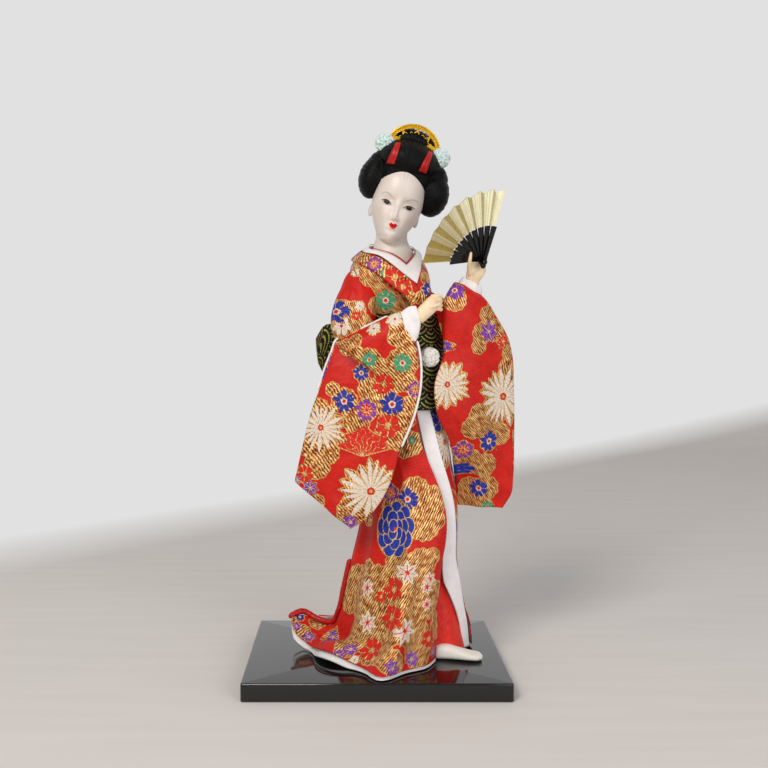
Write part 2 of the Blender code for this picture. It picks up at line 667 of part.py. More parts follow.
def comb(neighbours):
    """Crescent dress comb with a row of openings under its rim."""
    outer = arc(COMB_RADIUS, 12, 168, 19)
    lower = [(x, 3.4 + 2.6 * math.cos(x / COMB_RADIUS * math.pi / 2)) for x in np.linspace(-15.2, 15.2, 7)]
    holes = []
    for middle, half in ((42, 13), (74, 14), (108, 15), (139, 10)):
        top = arc(COMB_RADIUS - COMB_RIM, middle - half, middle + half, 5)
        low = [(x * 0.86, 8.0 if abs(x) < 9 else 7.0) for x, _ in reversed(top)]
        holes.append(top + [low[0], low[2], low[-1]])
    obj = flat_plate("comb", [outer + lower, *holes], COMB_THICKNESS, GILT, HEAD)
    tilt = Matrix.Rotation(math.radians(90 + 8), 4, "X")
    obj.matrix_local = Matrix.Translation(Vector(COMB_PLACE) * MM) @ tilt
    bpy.context.view_layer.update()
    matrix = obj.matrix_local.copy()
    obj = as_mesh(obj)
    obj.matrix_local = matrix
    bpy.context.view_layer.update()
    return clear_of(obj, *neighbours)


def hair_ribbon(name, side, wig_piece, neighbours):
    """Flat ribbon from the comb down over the swept-up front."""
    rows = []
    for t in np.linspace(0, 1, 7):
        z = 33.5 - 12.5 * t
        middle = RIBBON_SPREAD * side - 0.8 - (0.4 if side < 0 else 1.1) * t
        xs = [middle + w * RIBBON_WIDTH for w in (-0.5, 0.0, 0.5)]
        rows.append([(x, front_of_hair(x, z) - RIBBON_THICKNESS / 2 - FIT - 0.25, z) for x in xs])
    obj = sheet(name, np.array(rows), RIBBON_THICKNESS, RED_SATIN, HEAD)
    return clear_of(obj, wig_piece, *neighbours, gap=0.15)


def front_of_hair(x, z):
    """The hair's foremost y at a place across and up, found along rays from the head's middle."""
    y = -np.linspace(0.0, 24.0, 241)
    point = np.stack([np.full_like(y, x), y, np.full_like(y, z)], axis=1) - HAIR_CENTRE
    far = np.linalg.norm(point, axis=1)
    inside = far <= hair_surface(point / far[:, None])
    return float(y[inside].min()) if inside.any() else -2.0


def flower(name, place, radius, parent, finish, neighbours, petals=7, squash=0.75):
    """Gathered cloth flower: a ball pinched into petals."""
    bpy.ops.mesh.primitive_uv_sphere_add(segments=16, ring_count=7, radius=1)
    obj = bpy.context.object
    co = np.zeros(len(obj.data.vertices) * 3)
    obj.data.vertices.foreach_get("co", co)
    p = co.reshape(-1, 3)
    around, up = np.arctan2(p[:, 1], p[:, 0]), np.arcsin(np.clip(p[:, 2], -1, 1))
    swell = 1 + 0.12 * np.cos(petals * around) * np.cos(up) + 0.10 * np.cos(5 * up + 2 * around)
    p = p * swell[:, None] * (radius, radius, radius * squash)
    p = p[:, [0, 2, 1]] * (1, -1, 1) + place
    obj.data.vertices.foreach_set("co", (p * MM).ravel())
    mesh = obj.data.copy()
    bpy.data.objects.remove(obj)
    made = add(name, mesh, finish, parent)
    return clear_of(made, *neighbours)


# Sleeves, arms and hands


SLEEVE_RIGHT = ((-21.5, -15.0, 171.5, 15.5, -26.0, 189.5, 2.2),
                (-23.0, -15.5, 167.0, 18.5, -26.0, 183.0, 6.0),
                (-26.2, -17.0, 158.8, 22.2, -26.5, 168.6, 5.6),
                (-30.5, -18.0, 145.8, 23.2, -27.0, 149.0, 4.2),
                (-34.8, -18.5, 133.9, 20.0, -27.0, 133.6, 3.6),
                (-38.6, -19.0, 118.8, 13.3, -27.5, 116.6, 3.2),
                (-41.3, -19.0, 106.9, 8.4, -28.0, 99.0, 3.0),
                (-42.6, -19.2, 101.0, 1.4, -27.6, 85.4, 2.6),
                (-43.4, -19.4, 98.0, -6.4, -26.0, 76.4, 2.0),
                (-43.2, -19.6, 96.4, -13.4, -24.2, 72.0, 1.0))
SLEEVE_LEFT = ((43.2, -12.0, 204.4, 57.0, -6.0, 198.6, 2.6), (41.0, -14.0, 201.0, 61.4, -5.0, 193.4, 5.6),
               (37.4, -17.0, 194.0, 67.0, -3.5, 185.4, 6.2), (36.4, -17.0, 180.0, 73.6, -1.5, 175.0, 6.2),
               (37.4, -16.0, 166.0, 77.0, 1.0, 164.0, 5.0), (32.0, -19.0, 149.0, 78.2, 3.0, 149.0, 3.8),
               (33.2, -18.0, 134.0, 78.8, 4.0, 133.0, 3.2), (41.0, -7.0, 116.0, 79.0, 5.6, 115.0, 3.0),
               (45.4, 7.0, 95.0, 78.8, 7.0, 95.0, 2.8), (46.8, 11.6, 84.0, 77.4, 7.6, 84.6, 2.4),
               (48.0, 12.0, 78.6, 73.0, 8.2, 77.4, 1.2))
UPPER_RIGHT = ((-6.0, 1.0, 216.0, 3.0, 0.0, 210.0, 7.0), (-14.6, 0.5, 209.0, 2.0, -3.5, 203.0, 10.0),
               (-19.0, -2.5, 200.0, 2.0, -8.0, 192.0, 11.0), (-23.0, -6.0, 190.0, 0.0, -12.0, 182.0, 10.5),
               (-24.2, -9.0, 181.0, -2.0, -14.0, 174.0, 9.0), (-22.5, -11.0, 174.0, -8.0, -14.0, 168.0, 6.0))
UPPER_LEFT = ((24.0, 4.0, 205.0, 22.0, 4.0, 192.0, 6.0), (32.0, 4.5, 200.0, 26.0, 4.0, 182.0, 9.5),
              (42.0, 5.0, 195.0, 35.0, 4.5, 174.0, 10.0), (52.0, 5.5, 190.0, 46.0, 5.0, 169.0, 9.5),
              (60.0, 5.0, 184.0, 56.0, 4.5, 169.0, 6.0))


def sleeve_wave(folds, depth, lean):
    """Soft hanging folds across a sleeve, which deepen from its top edge down."""
    def wave(across, along):
        swell = np.clip(along * 1.6, 0.15, 1) * (1 - across**2)
        return depth * swell * np.sin(math.pi * folds * (across + lean * along))

    return wave


def tucked_wave(across, along):
    """The folds of the right sleeve, with the tuck that runs down from its upper corner."""
    tuck = 1 / (1 + np.exp(26 * (along - 0.13 - 0.07 * (across + 0.8))))
    fade = np.clip((0.35 - across) / 0.8, 0, 1) * (1 - across**8)
    return sleeve_wave(1.6, 1.3, 0.5)(across, along) - 1.5 * tuck * fade


def gathered_wave(across, along):
    """Creases round the upper arm that gather at the elbow."""
    return 0.8 * np.sin(9 * along + 1.4 * across) * (1 - across**4)


def sleeve(name, keys, rows, around, wave, neighbours):
    obj = add(name, rings(name, ovals(keys, rows, around, wave, squareness=0.85)), BROCADE, FIGURE)
    return clear_of(obj, *neighbours)


def edging(name, points, neighbours):
    """White piping along an open edge of the right sleeve."""
    away = EDGING_RADIUS + FIT + 0.15
    middle = np.mean(np.asarray(SLEEVE_RIGHT, float)[:6, :6].reshape(-1, 3), axis=0)
    points = np.asarray(points, float)
    out = points - middle
    points = points + out / np.linalg.norm(out, axis=1)[:, None] * away
    obj = as_mesh(cord(name, points, EDGING_RADIUS, WHITE_SILK, FIGURE, sides=1, count=12))
    return clear_of(obj, *neighbours, gap=0.15)


def edging_top(neighbours):
    keys = np.asarray(SLEEVE_RIGHT, float)
    left, (start, end) = keys[3:0:-1, :3], keys[0, :6].reshape(2, 3)
    along_top = [start + (end - start) * t for t in (0.0, 0.3, 0.55, 0.75)]
    return edging("sleeve_edging_top", [*left, *along_top], neighbours)


def edging_side(neighbours):
    keys = np.asarray(SLEEVE_RIGHT, float)
    first = keys[1, 3:6] + (keys[2, 3:6] - keys[1, 3:6]) * 0.75
    return edging("sleeve_edging_side", [first, *keys[2:6, 3:6]], neighbours)


def cuff(name, keys, neighbours):
    obj = add(name, rings(name, ovals(keys, 5, 12)), WHITE_SILK, FIGURE)
    return clear_of(obj, *neighbours, gap=2 * FIT)


def finger(points, radius):
    curve = cord("finger", points, radius, HAND_RESIN, FIGURE, sides=1, count=5)
    for point, share in zip(curve.data.splines[0].points, (1.0, 1.0, 0.95, 0.85, 0.5)):
        point.radius = share
    return as_mesh(curve)


def hand(name, palm_keys, fingers, radius, neighbours):
    """Palm with its fingers and thumb, cast as one."""
    obj = add(name, rings(name, ovals(palm_keys, 6, 10)), HAND_RESIN, FIGURE)
    for i, points in enumerate(fingers):
        piece = finger(points, radius)
        joined = cutter(f"{name}_finger_{i}", evaluated_copy(piece), piece.matrix_world)
        boolean(obj, joined, "UNION", "MANIFOLD")
        bpy.data.objects.remove(piece)
    return settle(clear_of(settle(obj), *neighbours, solver="MANIFOLD"))


def hand_right(neighbours):
    """Closes on the edge of the other sleeve."""
    palm = [(21.4, -27.8, 188.6, 23.4, -27.7, 181.6, 2.6), (22.4, -27.8, 190.0, 24.8, -27.7, 182.0, 3.0),
            (24.6, -27.8, 192.2, 27.6, -27.4, 184.2, 3.2), (29.0, -26.8, 196.2, 32.0, -26.0, 188.4, 2.9),
            (31.0, -26.0, 197.0, 33.4, -25.4, 190.4, 1.6)]
    fingers = [[(29.5, -26.4, z - 0.4), (33.2, -25.6, z), (35.0, -23.6, z - 0.4), (34.8, -21.2, z - 0.6)]
               for z in (196.4, 194.1, 191.8, 189.5)]
    fingers.append([(25.6, -28.6, 189.0), (29.0, -30.0, 190.4), (32.6, -29.2, 191.4), (34.6, -27.6, 191.4)])
    return hand("hand_right", palm, fingers, FINGER_RADIUS, neighbours)


def hand_left(neighbours):
    """Raised, with the fan's sticks between the thumb and the palm."""
    palm = [(50.4, -9.2, 205.6, 57.2, -7.0, 202.6, 2.7), (50.0, -9.4, 207.0, 57.8, -7.6, 205.2, 2.9),
            (50.2, -9.4, 209.6, 60.0, -8.4, 208.4, 3.1), (52.0, -8.6, 213.8, 61.2, -8.2, 213.0, 2.6),
            (54.0, -8.0, 216.0, 60.0, -8.0, 215.6, 1.4)]
    fingers = [[(x - 1.6, -8.3, 210.6), (x, -7.6, 216.0), (x + 0.4, -8.2, z), (x + 0.2, -9.6, z + 2.0)]
               for x, z in ((53.6, 219.2), (55.9, 219.8), (58.2, 219.0), (60.5, 217.4))]
    fingers.append([(52.2, -10.6, 208.0), (50.8, -15.4, 211.4), (50.8, -20.0, 215.4), (51.4, -21.4, 220.4)])
    return hand("hand_left", palm, fingers, FINGER_RADIUS, neighbours)


CUFF_RIGHT = ((13.4, -27.6, 188.6, 15.6, -27.0, 172.4, 2.6), (16.0, -27.6, 190.8, 18.4, -27.2, 172.6, 3.2),
              (18.6, -27.8, 192.2, 22.4, -27.4, 175.4, 3.4), (21.6, -27.8, 191.6, 24.2, -27.6, 179.8, 3.2))
CUFF_LEFT = ((44.0, -8.0, 196.0, 58.0, -4.0, 189.0, 4.6), (45.0, -9.0, 202.0, 59.0, -5.4, 196.0, 4.4),
             (47.0, -9.6, 206.0, 59.2, -6.4, 200.4, 4.0), (48.2, -9.8, 207.4, 58.8, -6.8, 202.4, 3.6))
ARM_RIGHT = ((2.0, 3.0, 200.0), (-8.0, 0.0, 198.0), (-14.0, -6.0, 186.0), (-12.0, -14.0, 176.0),
             (0.0, -21.0, 177.0), (12.0, -25.5, 180.5), (20.0, -27.6, 184.0), (26.6, -27.6, 188.0))
ARM_LEFT = ((20.0, 3.0, 200.0), (34.0, 4.0, 196.0), (48.0, 4.5, 186.0), (58.0, 2.0, 182.0),
            (60.0, -3.0, 188.0), (57.0, -6.5, 197.0), (55.0, -8.4, 204.0), (55.2, -8.8, 209.5))


# Sash bow, in its own frame: x across the back, y out from it, z up


def obi_loop(name, side):
    reach_out = BOW_HALF_WIDTH
    tall = BOW_HEIGHT / 2
    keys = []
    for x, top, bottom, deep in ((0.16, 0.52, 0.45, 3.6), (0.42, 0.92, 0.86, 6.4), (0.72, 1.0, 1.0, 5.6),
                                 (0.92, 0.84, 0.92, 3.2), (1.0, 0.45, 0.5, 1.0)):
        out = x * reach_out * side
        keys.append((out, 1.0, top * tall, out * 0.97, 1.0, -bottom * tall, deep))

    def wave(across, along):
        return 0.9 * np.cos(2.5 * math.pi * across) * (1 - along) ** 1.5

    return add(name, rings(name, ovals(keys, 7, 14, wave)), OBI_BROCADE, BOW)


def obi_knot(neighbours):
    h = 0.62 * BOW_HEIGHT / 2
    keys = [(-KNOT_HALF_WIDTH, 1.4, h, KNOT_HALF_WIDTH, 1.4, h, KNOT_HALF_DEPTH * 0.7),
            (-KNOT_HALF_WIDTH, 1.4, h * 0.5, KNOT_HALF_WIDTH, 1.4, h * 0.5, KNOT_HALF_DEPTH),
            (-KNOT_HALF_WIDTH, 1.4, -h * 0.5, KNOT_HALF_WIDTH, 1.4, -h * 0.5, KNOT_HALF_DEPTH),
            (-KNOT_HALF_WIDTH, 1.4, -h, KNOT_HALF_WIDTH, 1.4, -h, KNOT_HALF_DEPTH * 0.7)]
    obj = add("obi_knot", rings("obi_knot", ovals(keys, 4, 12, squareness=0.6)), OBI_BROCADE, BOW)
    return clear_of(obj, *neighbours)


def obi_tail(name, side, neighbours):
    rows = []
    for t in np.linspace(0, 1, 6):
        centre = np.array((side * (6.0 + 15.0 * t), -0.6 + 2.0 * t - 2.5 * t * t, -2.0 - TAIL_LENGTH * t))
        slant = 4.0 * side * t
        rows.append([centre + (w * TAIL_WIDTH, 0, -w * slant) for w in np.linspace(-0.5, 0.5, 3)])
    obj = sheet(name, np.array(rows), CLOTH, OBI_BROCADE, BOW)
    return clear_of(obj, *neighbours)


# Skirt


def waist(angle, off):
    """Point on the waist: angle in degrees from straight ahead of the doll towards its right."""
    a, turn = math.radians(angle), math.radians(TORSO_YAW)
    x = -(WAIST_HALF_WIDTH + off) * math.sin(a)
    y = -(WAIST_HALF_DEPTH + off) * math.cos(a)
    return (WAIST_CENTRE[0] + x * math.cos(turn) - y * math.sin(turn),
            WAIST_CENTRE[1] + x * math.sin(turn) + y * math.cos(turn), WAIST_HEIGHT)


BACK_OFF = CLOTH / 2 + FIT
BAND_OFF = BACK_OFF + CLOTH + FIT
FRONT_OFF = BAND_OFF + CLOTH + FIT

FRONT_EDGE = ((25.0, -17.0, 117.0), (31.2, -18.6, 101.0), (35.6, -19.4, 89.0), (38.0, -19.8, 78.0),
              (37.6, -20.2, 64.7), (35.6, -20.6, 54.0), (33.8, -21.0, 38.7), (32.8, -21.0, 28.0),
              (32.8, -21.2, 16.0), (32.0, -22.0, 1.4))
TRAIN_EDGE = ((-4.7, 4.6, 99.5), (-8.1, 3.0, 68.8), (-12.6, 1.0, 49.6), (-16.0, 0.0, 33.4),
              (-18.8, 1.0, 20.5), (-23.0, 4.5, 12.0), (-32.0, 9.5, 11.5), (-41.0, 12.0, 15.0),
              (-47.0, 9.0, 13.5))
FRONT_HEM = ((32.0, -22.0, 1.4), (25.6, -34.5, 1.3), (15.3, -41.5, 1.3), (1.4, -51.5, 1.3),
             (-8.0, -40.0, 3.0), (-19.0, -31.5, 5.0), (-30.0, -21.0, 5.0), (-38.5, -3.0, 4.0),
             (-45.5, 3.0, 8.0), (-47.0, 9.0, 13.5))
BACK_LEFT_EDGE = ((-3.2, 1.5, 99.5), (-6.2, 0.5, 68.8), (-10.2, 0.5, 49.6), (-13.0, 2.0, 33.4),
                  (-15.0, 6.0, 21.0), (-21.0, 13.0, 14.5), (-32.0, 20.0, 12.5))
BACK_HEM = ((-32.0, 21.0, 12.5), (-35.0, 27.0, 7.0), (-24.0, 38.0, 1.6), (8.0, 45.5, 1.3), (36.0, 38.0, 1.3),
            (51.0, 22.0, 1.3), (54.8, 5.0, 1.3))
BACK_RIGHT_EDGE = ((33.6, -12.0, 113.0), (41.4, -8.6, 82.5), (42.8, -6.6, 64.0), (43.6, -4.6, 52.0),
                   (46.6, -2.4, 38.0), (50.0, 0.2, 24.0), (53.2, 2.4, 13.0), (54.4, 5.0, 1.3))
BAND_INNER = ((27.6, -14.6, 111.0), (36.2, -14.2, 83.0), (38.2, -14.4, 68.0), (36.6, -14.6, 53.0),
              (37.4, -13.0, 41.0), (41.5, -10.5, 32.0), (46.2, -7.0, 19.0), (49.0, -3.5, 1.6))
BAND_OUTER = ((35.0, -14.8, 113.0), (43.2, -11.6, 82.5), (44.4, -10.2, 64.0), (44.4, -8.6, 54.0),
              (47.0, -6.4, 40.0), (49.2, -4.0, 26.4), (51.4, -1.4, 15.0), (52.8, 1.2, 1.6))


def front_grid():
    top = [waist(a, FRONT_OFF) for a in np.linspace(12, 108, 9)]
    grid = patch(top, FRONT_HEM, [top[0], *FRONT_EDGE], [top[-1], *TRAIN_EDGE], 13, 14, hug=1.9)
    return pleated(grid, 3, 1.1, 0.35)


def skirt_front():
    """Outer wrap of the skirt: from its white-edged front round to the doll's right, where it trails."""
    return sheet("skirt_front", front_grid(), CLOTH, BROCADE, FIGURE)


def skirt_lining(neighbours):
    """White lining, which shows as a narrow line under the lifted hem."""
    grid = front_grid()
    across = np.gradient(grid, axis=1)
    normal = np.cross(across, np.gradient(grid, axis=0))
    normal /= np.linalg.norm(normal, axis=2)[:, :, None]
    inner = grid - normal * facing_out(grid, normal) * (CLOTH + 2 * FIT)
    strip = inner[-4:].copy()
    strip[-1, :, 2] = np.maximum(strip[-1, :, 2] - 3.0, CLOTH / 2 + FIT)
    return clear_of(sheet("skirt_lining", strip, CLOTH, WHITE_SILK, FIGURE), *neighbours, gap=FIT / 2)


def facing_out(grid, normal):
    """1 where the normals point away from the legs, or -1."""
    out = grid[-3, :, :2] - WAIST_CENTRE
    return float(np.sign((normal[-3, :, :2] * out).sum()))


def skirt_back(neighbours):
    """Inner wrap: from under the outer one round the back to the doll's left front."""
    top = [waist(a, BACK_OFF) for a in np.linspace(102, 350, 15)]
    grid = patch(top, BACK_HEM, [top[0], *BACK_LEFT_EDGE], [top[-1], *BACK_RIGHT_EDGE], 10, 18, hug=1.7)
    return clear_of(sheet("skirt_back", pleated(grid, 5, 1.4, 0.3), CLOTH, BROCADE, FIGURE), *neighbours)


def edge_band(neighbours):
    """White turned edge that runs down the front and spreads beside the foot."""
    inner = through([waist(14, BAND_OFF), *BAND_INNER], 16)
    outer = through([waist(-8, BAND_OFF), *BAND_OUTER], 16)
    grid = np.stack([inner + (outer - inner) * t for t in np.linspace(0, 1, 4)], axis=1)
    return clear_of(sheet("edge_band", grid, CLOTH * 0.8, WHITE_SILK, FIGURE), *neighbours)


def hem_roll(neighbours):
    """Padded red roll along the trailing edge, curled at the tip of the train."""
    line = np.asarray(TRAIN_EDGE[2:], float)
    away = np.array([(-0.4, 0.9, 0.0), (-0.5, 0.9, 0.1), (-0.5, 0.9, 0.2), (-0.3, 0.8, 0.6),
                     (-0.1, 0.5, 0.9), (-0.1, 0.4, 0.9), (-0.9, 0.5, 0.6)])
    away /= np.linalg.norm(away, axis=1)[:, None]
    line = line + away * (HEM_ROLL_RADIUS + CLOTH / 2 + FIT)
    obj = as_mesh(cord("hem_roll", line, HEM_ROLL_RADIUS, RED_SATIN, FIGURE, sides=1, count=18))
    return clear_of(obj, *neighbours)


def underskirt(neighbours):
    """Red satin under-robe round the legs, open at the hem."""
    keys = [oval(20.0, 2.0, 84.0, 13.5, 11.5, 10), oval(20.5, 0.0, 60.0, 15.5, 12.6, 10),
            oval(21.5, -2.0, 40.0, 17.5, 13.2, 10), oval(23.5, -3.2, 20.0, 20.5, 13.6, 8),
            oval(25.0, -3.6, 1.2, 22.6, 13.8, 6)]
    grid = ovals(keys, 6, 16)
    obj = sheet("underskirt", grid, CLOTH, RED_SATIN, FIGURE, ring=True)
    return clear_of(obj, *neighbours)


def foot(name, heel, toe, width, height):
    """White split-toe sock, flat on the board."""
    heel, toe = np.asarray(heel, float), np.asarray(toe, float)
    way = (toe - heel) / np.linalg.norm(toe - heel)
    side = np.array((-way[1], way[0]))
    length = np.linalg.norm(toe - heel)
    keys = []
    for t, wide, tall in ((0.0, 0.30, 0.55), (0.08, 0.62, 0.85), (0.30, 0.72, 1.0), (0.55, 0.86, 0.78),
                          (0.80, 1.0, 0.52), (0.95, 0.78, 0.40), (1.0, 0.42, 0.25)):
        c = heel + way * length * t
        half = wide * width / 2
        z = tall * height / 2 + FIT
        keys.append((*(c - side * half), z, *(c + side * half), z, tall * height / 2))
    return add(name, rings(name, ovals(keys, 9, 12, squareness=0.8)), TABI, FIGURE)


# Fan, in its own frame: x and z in the leaf's plane, y to its back


def fan_angle(share):
    return math.radians(FAN_FROM + (FAN_TO - FAN_FROM) * share)


def fan_depth(share):
    """Each stick lies a pitch behind the last, and the leaf climbs with them."""
    return (share - 0.5) * STICK_PITCH * (STICK_COUNT - 1)


def fan_leaf():
    """Gilt leaf, folded to a mountain and a valley for every stick."""
    folds = 2 * (STICK_COUNT - 1)
    rows = []
    for radius in np.linspace(STICK_LENGTH + FIT, FAN_RADIUS, 4):
        row = []
        for i in range(folds + 1):
            share = i / folds
            fold = PLEAT_DEPTH * (0.35 + 0.65 * radius / FAN_RADIUS) * (1 if i % 2 else -1) / 2
            a = fan_angle(share)
            reach_out = radius * (1.0 if i % 2 == 0 or radius < FAN_RADIUS else 0.96)
            row.append((reach_out * math.cos(a), fan_depth(share) + fold, reach_out * math.sin(a)))
        rows.append(row)
    obj = sheet("fan_leaf", np.array(rows), LEAF_THICKNESS, GOLD_FOIL, FAN)
    obj.data.shade_flat()
    return obj


def fan_stick(index):
    """Stick with an eye for the rivet, waisted above it and widest where it meets the leaf."""
    guard = index in (0, STICK_COUNT - 1)
    share = index / (STICK_COUNT - 1)
    wide = 2 * STICK_LENGTH * math.tan(math.radians((FAN_TO - FAN_FROM) / (STICK_COUNT - 1) / 2)) - FIT
    half = [(1.0, -STICK_TAIL), (1.7, -STICK_TAIL + 1.2), (1.1, 3.0), (1.3, 8.0), (wide / 2, STICK_LENGTH)]
    outline = [(z, x) for x, z in half] + [(z, -x) for x, z in reversed(half)]
    eye = arc(RIVET_RADIUS + FIT, 360, 60, 6)
    name = f"fan_guard_{'right' if index else 'left'}" if guard else f"fan_stick_{index}"
    obj = flat_plate(name, [outline, eye], STICK_THICKNESS, BLACK_GLOSS, FAN)
    turn = Matrix.Rotation(-fan_angle(share), 4, "Y") @ Matrix.Rotation(math.radians(90), 4, "X")
    obj.matrix_local = Matrix.Translation((0, fan_depth(share) * MM, 0)) @ turn
    return obj


def fan_rivet():
    """Pin through every stick, headed at both ends."""
    reach_out = STICK_PITCH * (STICK_COUNT - 1) / 2 + STICK_THICKNESS / 2 + FIT
    half = [(0.0, -reach_out - 0.7), (1.3, -reach_out - 0.5), (1.5, -reach_out), (RIVET_RADIUS, -reach_out)]
    profile = half + [(x, -y) for x, y in reversed(half)]
    mesh = bpy.data.meshes.new("fan_rivet")
    edges = [(i, i + 1) for i in range(len(profile) - 1)]
    mesh.from_pydata([(x * MM, 0, -y * MM) for x, y in profile], edges, [])
    obj = add("fan_rivet", mesh, BLACK_GLOSS, FAN, smooth=False)
    modify(obj, "SCREW", angle=2 * math.pi, steps=10, render_steps=10, axis="Z", use_merge_vertices=True,
           merge_threshold=0.00005)
    obj.matrix_local = Matrix.Rotation(math.radians(90), 4, "X")
    return obj


def fan_matrix():
    """Leaf's plane: leans with its long axis 60 degrees up, and its far side swung to the viewer."""
    up = Vector((0.5, 0.0, 0.866)).normalized()
    side = Vector((-0.658, -0.65, 0.38)).normalized()
    side = (side - up * side.dot(up)).normalized()
    return axes(up, side)


def axes(x_axis, z_axis):
    """Rotation whose x and z columns are these two square directions."""
    y_axis = z_axis.cross(x_axis)
    return Matrix((x_axis, y_axis, z_axis)).transposed()


def head_matrix():
    roll = Matrix.Rotation(math.radians(HEAD_ROLL), 3, "Y")
    return roll @ Matrix.Rotation(math.radians(HEAD_YAW), 3, "Z")


def bow_place():
    """Behind the middle of the sash, clear of its outer face."""
    turn = math.radians(TORSO_YAW)
    below, above = OBI_OVALS[1], OBI_OVALS[2]
    share = (BOW_PLACE_HEIGHT - below[2]) / (above[2] - below[2])
    x, y, _, _, deep = np.array(below) + (np.array(above) - below) * share
    out = deep + OBI_THICKNESS + KNOT_HALF_DEPTH - BOW_SINK
    return (x - out * math.sin(turn), y + out * math.cos(turn), BOW_PLACE_HEIGHT)


clear_scene()
DOLL = collection("kimono_doll")
CUTTERS = collection("cutters")
CUTTERS.hide_render = True
FIGURE = frame("figure_frame", (0, 0, BOARD_THICKNESS))
HEAD = frame("head_frame", HEAD_PLACE, head_matrix(), FIGURE)
FAN = frame("fan_frame", FAN_PIVOT, fan_matrix(), FIGURE)
BOW = frame("bow_frame", bow_place(), Matrix.Rotation(math.radians(TORSO_YAW), 3, "Z"), FIGURE)


def torso_space():
    """The room that the robe fills: a solid to cut from what lies on it."""
    mesh = rings("torso_space", ovals(torso_keys(FIT), 8, 16))
    return cutter("torso_space", mesh, FIGURE.matrix_world)


def obi_space():
    """The room that the sash fills, with the fitting gap over its rims as well."""
    grow = OBI_THICKNESS + FIT
    outer = [oval(x, y, z, w + grow, d + grow) for x, y, z, w, d in OBI_OVALS]
    body = ovals(outer, 4, 24)
    grid = np.concatenate([body[:1] - (0, 0, 2 * FIT), body, body[-1:] + (0, 0, 2 * FIT)])
    return cutter("obi_space", rings("obi_space", grid), FIGURE.matrix_world)


def head_pieces():
    head = head_part()
    hair = wig(head)
    knot = settle(chignon(hair))
    crest = settle(comb([hair, knot]))
    blooms = []
    for name, side in (("right", -1), ("left", 1)):
        place = np.add(FLOWER_PLACE, (side * FLOWER_SPREAD, 0, 0))
        bloom = flower(f"hair_flower_{name}", place, FLOWER_RADIUS, HEAD, CREPE, [hair, crest, knot])
        blooms.append(settle(bloom))
    for name, side in (("right", -1), ("left", 1)):
        hair_ribbon(f"hair_ribbon_{name}", side, hair, [crest, *blooms])
    return head


def robe_pieces(head):
    """Trunk, robe and collars; gives what the arms run through and what the sleeves lie on."""
    core = body_core()
    clear_of(core, head)
    for x in (LEG_LEFT_X, LEG_RIGHT_X):
        channel([(x, LEG_Y, 60.0), (x, LEG_Y, LEG_TOP)], core)
    robe = settle(bodice(head))
    collar = settle(clear_of(inner_collar(head), robe))
    collar_piping(head, collar)
    torso = torso_space()
    over = settle(cut_by(lapel_right([collar]), torso))
    cut_by(lapel_left([collar, over]), torso)
    return core, robe, over, torso


def cut_by(obj, *spaces):
    for space in spaces:
        boolean(obj, space, "DIFFERENCE")
    return obj


def skirt_pieces():
    skirt = settle(skirt_front())
    lining = settle(skirt_lining([skirt]))
    band = settle(edge_band([skirt, lining]))
    foot_left = foot("foot_left", (29.0, -15.5), (57.6, -18.6), 11.0, 7.6)
    foot_right = foot("foot_right", (12.0, -10.0), (2.0, -24.0), 10.5, 8.4)
    under = settle(underskirt([skirt, lining, band, foot_left, foot_right]))
    back = settle(skirt_back([skirt, lining, band, under]))
    hem_roll([skirt, lining, back])
    return skirt, band, back


def sash_pieces(back):
    sash = obi()
    flower("obi_flower", OBI_FLOWER_PLACE, OBI_FLOWER_RADIUS, FIGURE, WHITE_SILK, [sash], 5, 0.7)
    loops = [obi_loop("obi_loop_right", -1), obi_loop("obi_loop_left", 1)]
    space = obi_space()
    knot = settle(cut_by(obi_knot(loops), space))
    for loop in loops:
        cut_by(loop, space)
        settle(loop)
    tails = []
    for name, side in (("right", -1), ("left", 1)):
        tails.append(settle(obi_tail(f"obi_tail_{name}", side, [sash, *loops, knot, back, *tails])))
    return loops, space


def arm_pieces(core, robe, over, torso, sash_space, loops, skirts):
    upper_right = sleeve("sleeve_right_upper", UPPER_RIGHT, 8, 12, gathered_wave, [over])
    settle(cut_by(upper_right, torso, sash_space))
    bag_right = sleeve("sleeve_right", SLEEVE_RIGHT, 15, 14, tucked_wave, [upper_right])
    settle(cut_by(bag_right, sash_space))
    bag_left = sleeve("sleeve_left", SLEEVE_LEFT, 15, 14, sleeve_wave(1.3, 1.5, -0.4), skirts)
    settle(cut_by(bag_left, torso, sash_space))
    upper_left = sleeve("sleeve_left_upper", UPPER_LEFT, 7, 12, None, [bag_left, loops[1]])
    settle(cut_by(upper_left, torso, sash_space))
    cuff_right = settle(cuff("cuff_right", CUFF_RIGHT, [bag_right]))
    cuff_left = settle(cuff("cuff_left", CUFF_LEFT, [bag_left]))
    settle(clear_of(upper_right, settle(edging_top([bag_right, cuff_right])), gap=0.15))
    edging_side([bag_right, cuff_right])
    grip, holder = hand_right([bag_left, cuff_right]), hand_left([cuff_left])
    arm("right", ARM_RIGHT, grip, core, robe, upper_right, bag_right, cuff_right)
    arm("left", ARM_LEFT, holder, core, robe, upper_left, bag_left, cuff_left)


def arm(side, points, hand_piece, *pieces):
    """Runs an arm's wire from the trunk through the sleeve and cuff into the hand."""
    channel(points, *pieces)
    channel(points, hand_piece, solver="MANIFOLD")
    line = through(points, 14)[:-1]
    cord(f"arm_wire_{side}", line, WIRE_RADIUS, STEEL, FIGURE, sides=1, count=13)


def fan_pieces():
    for i in range(STICK_COUNT):
        fan_stick(i)
    fan_leaf()
    fan_rivet()


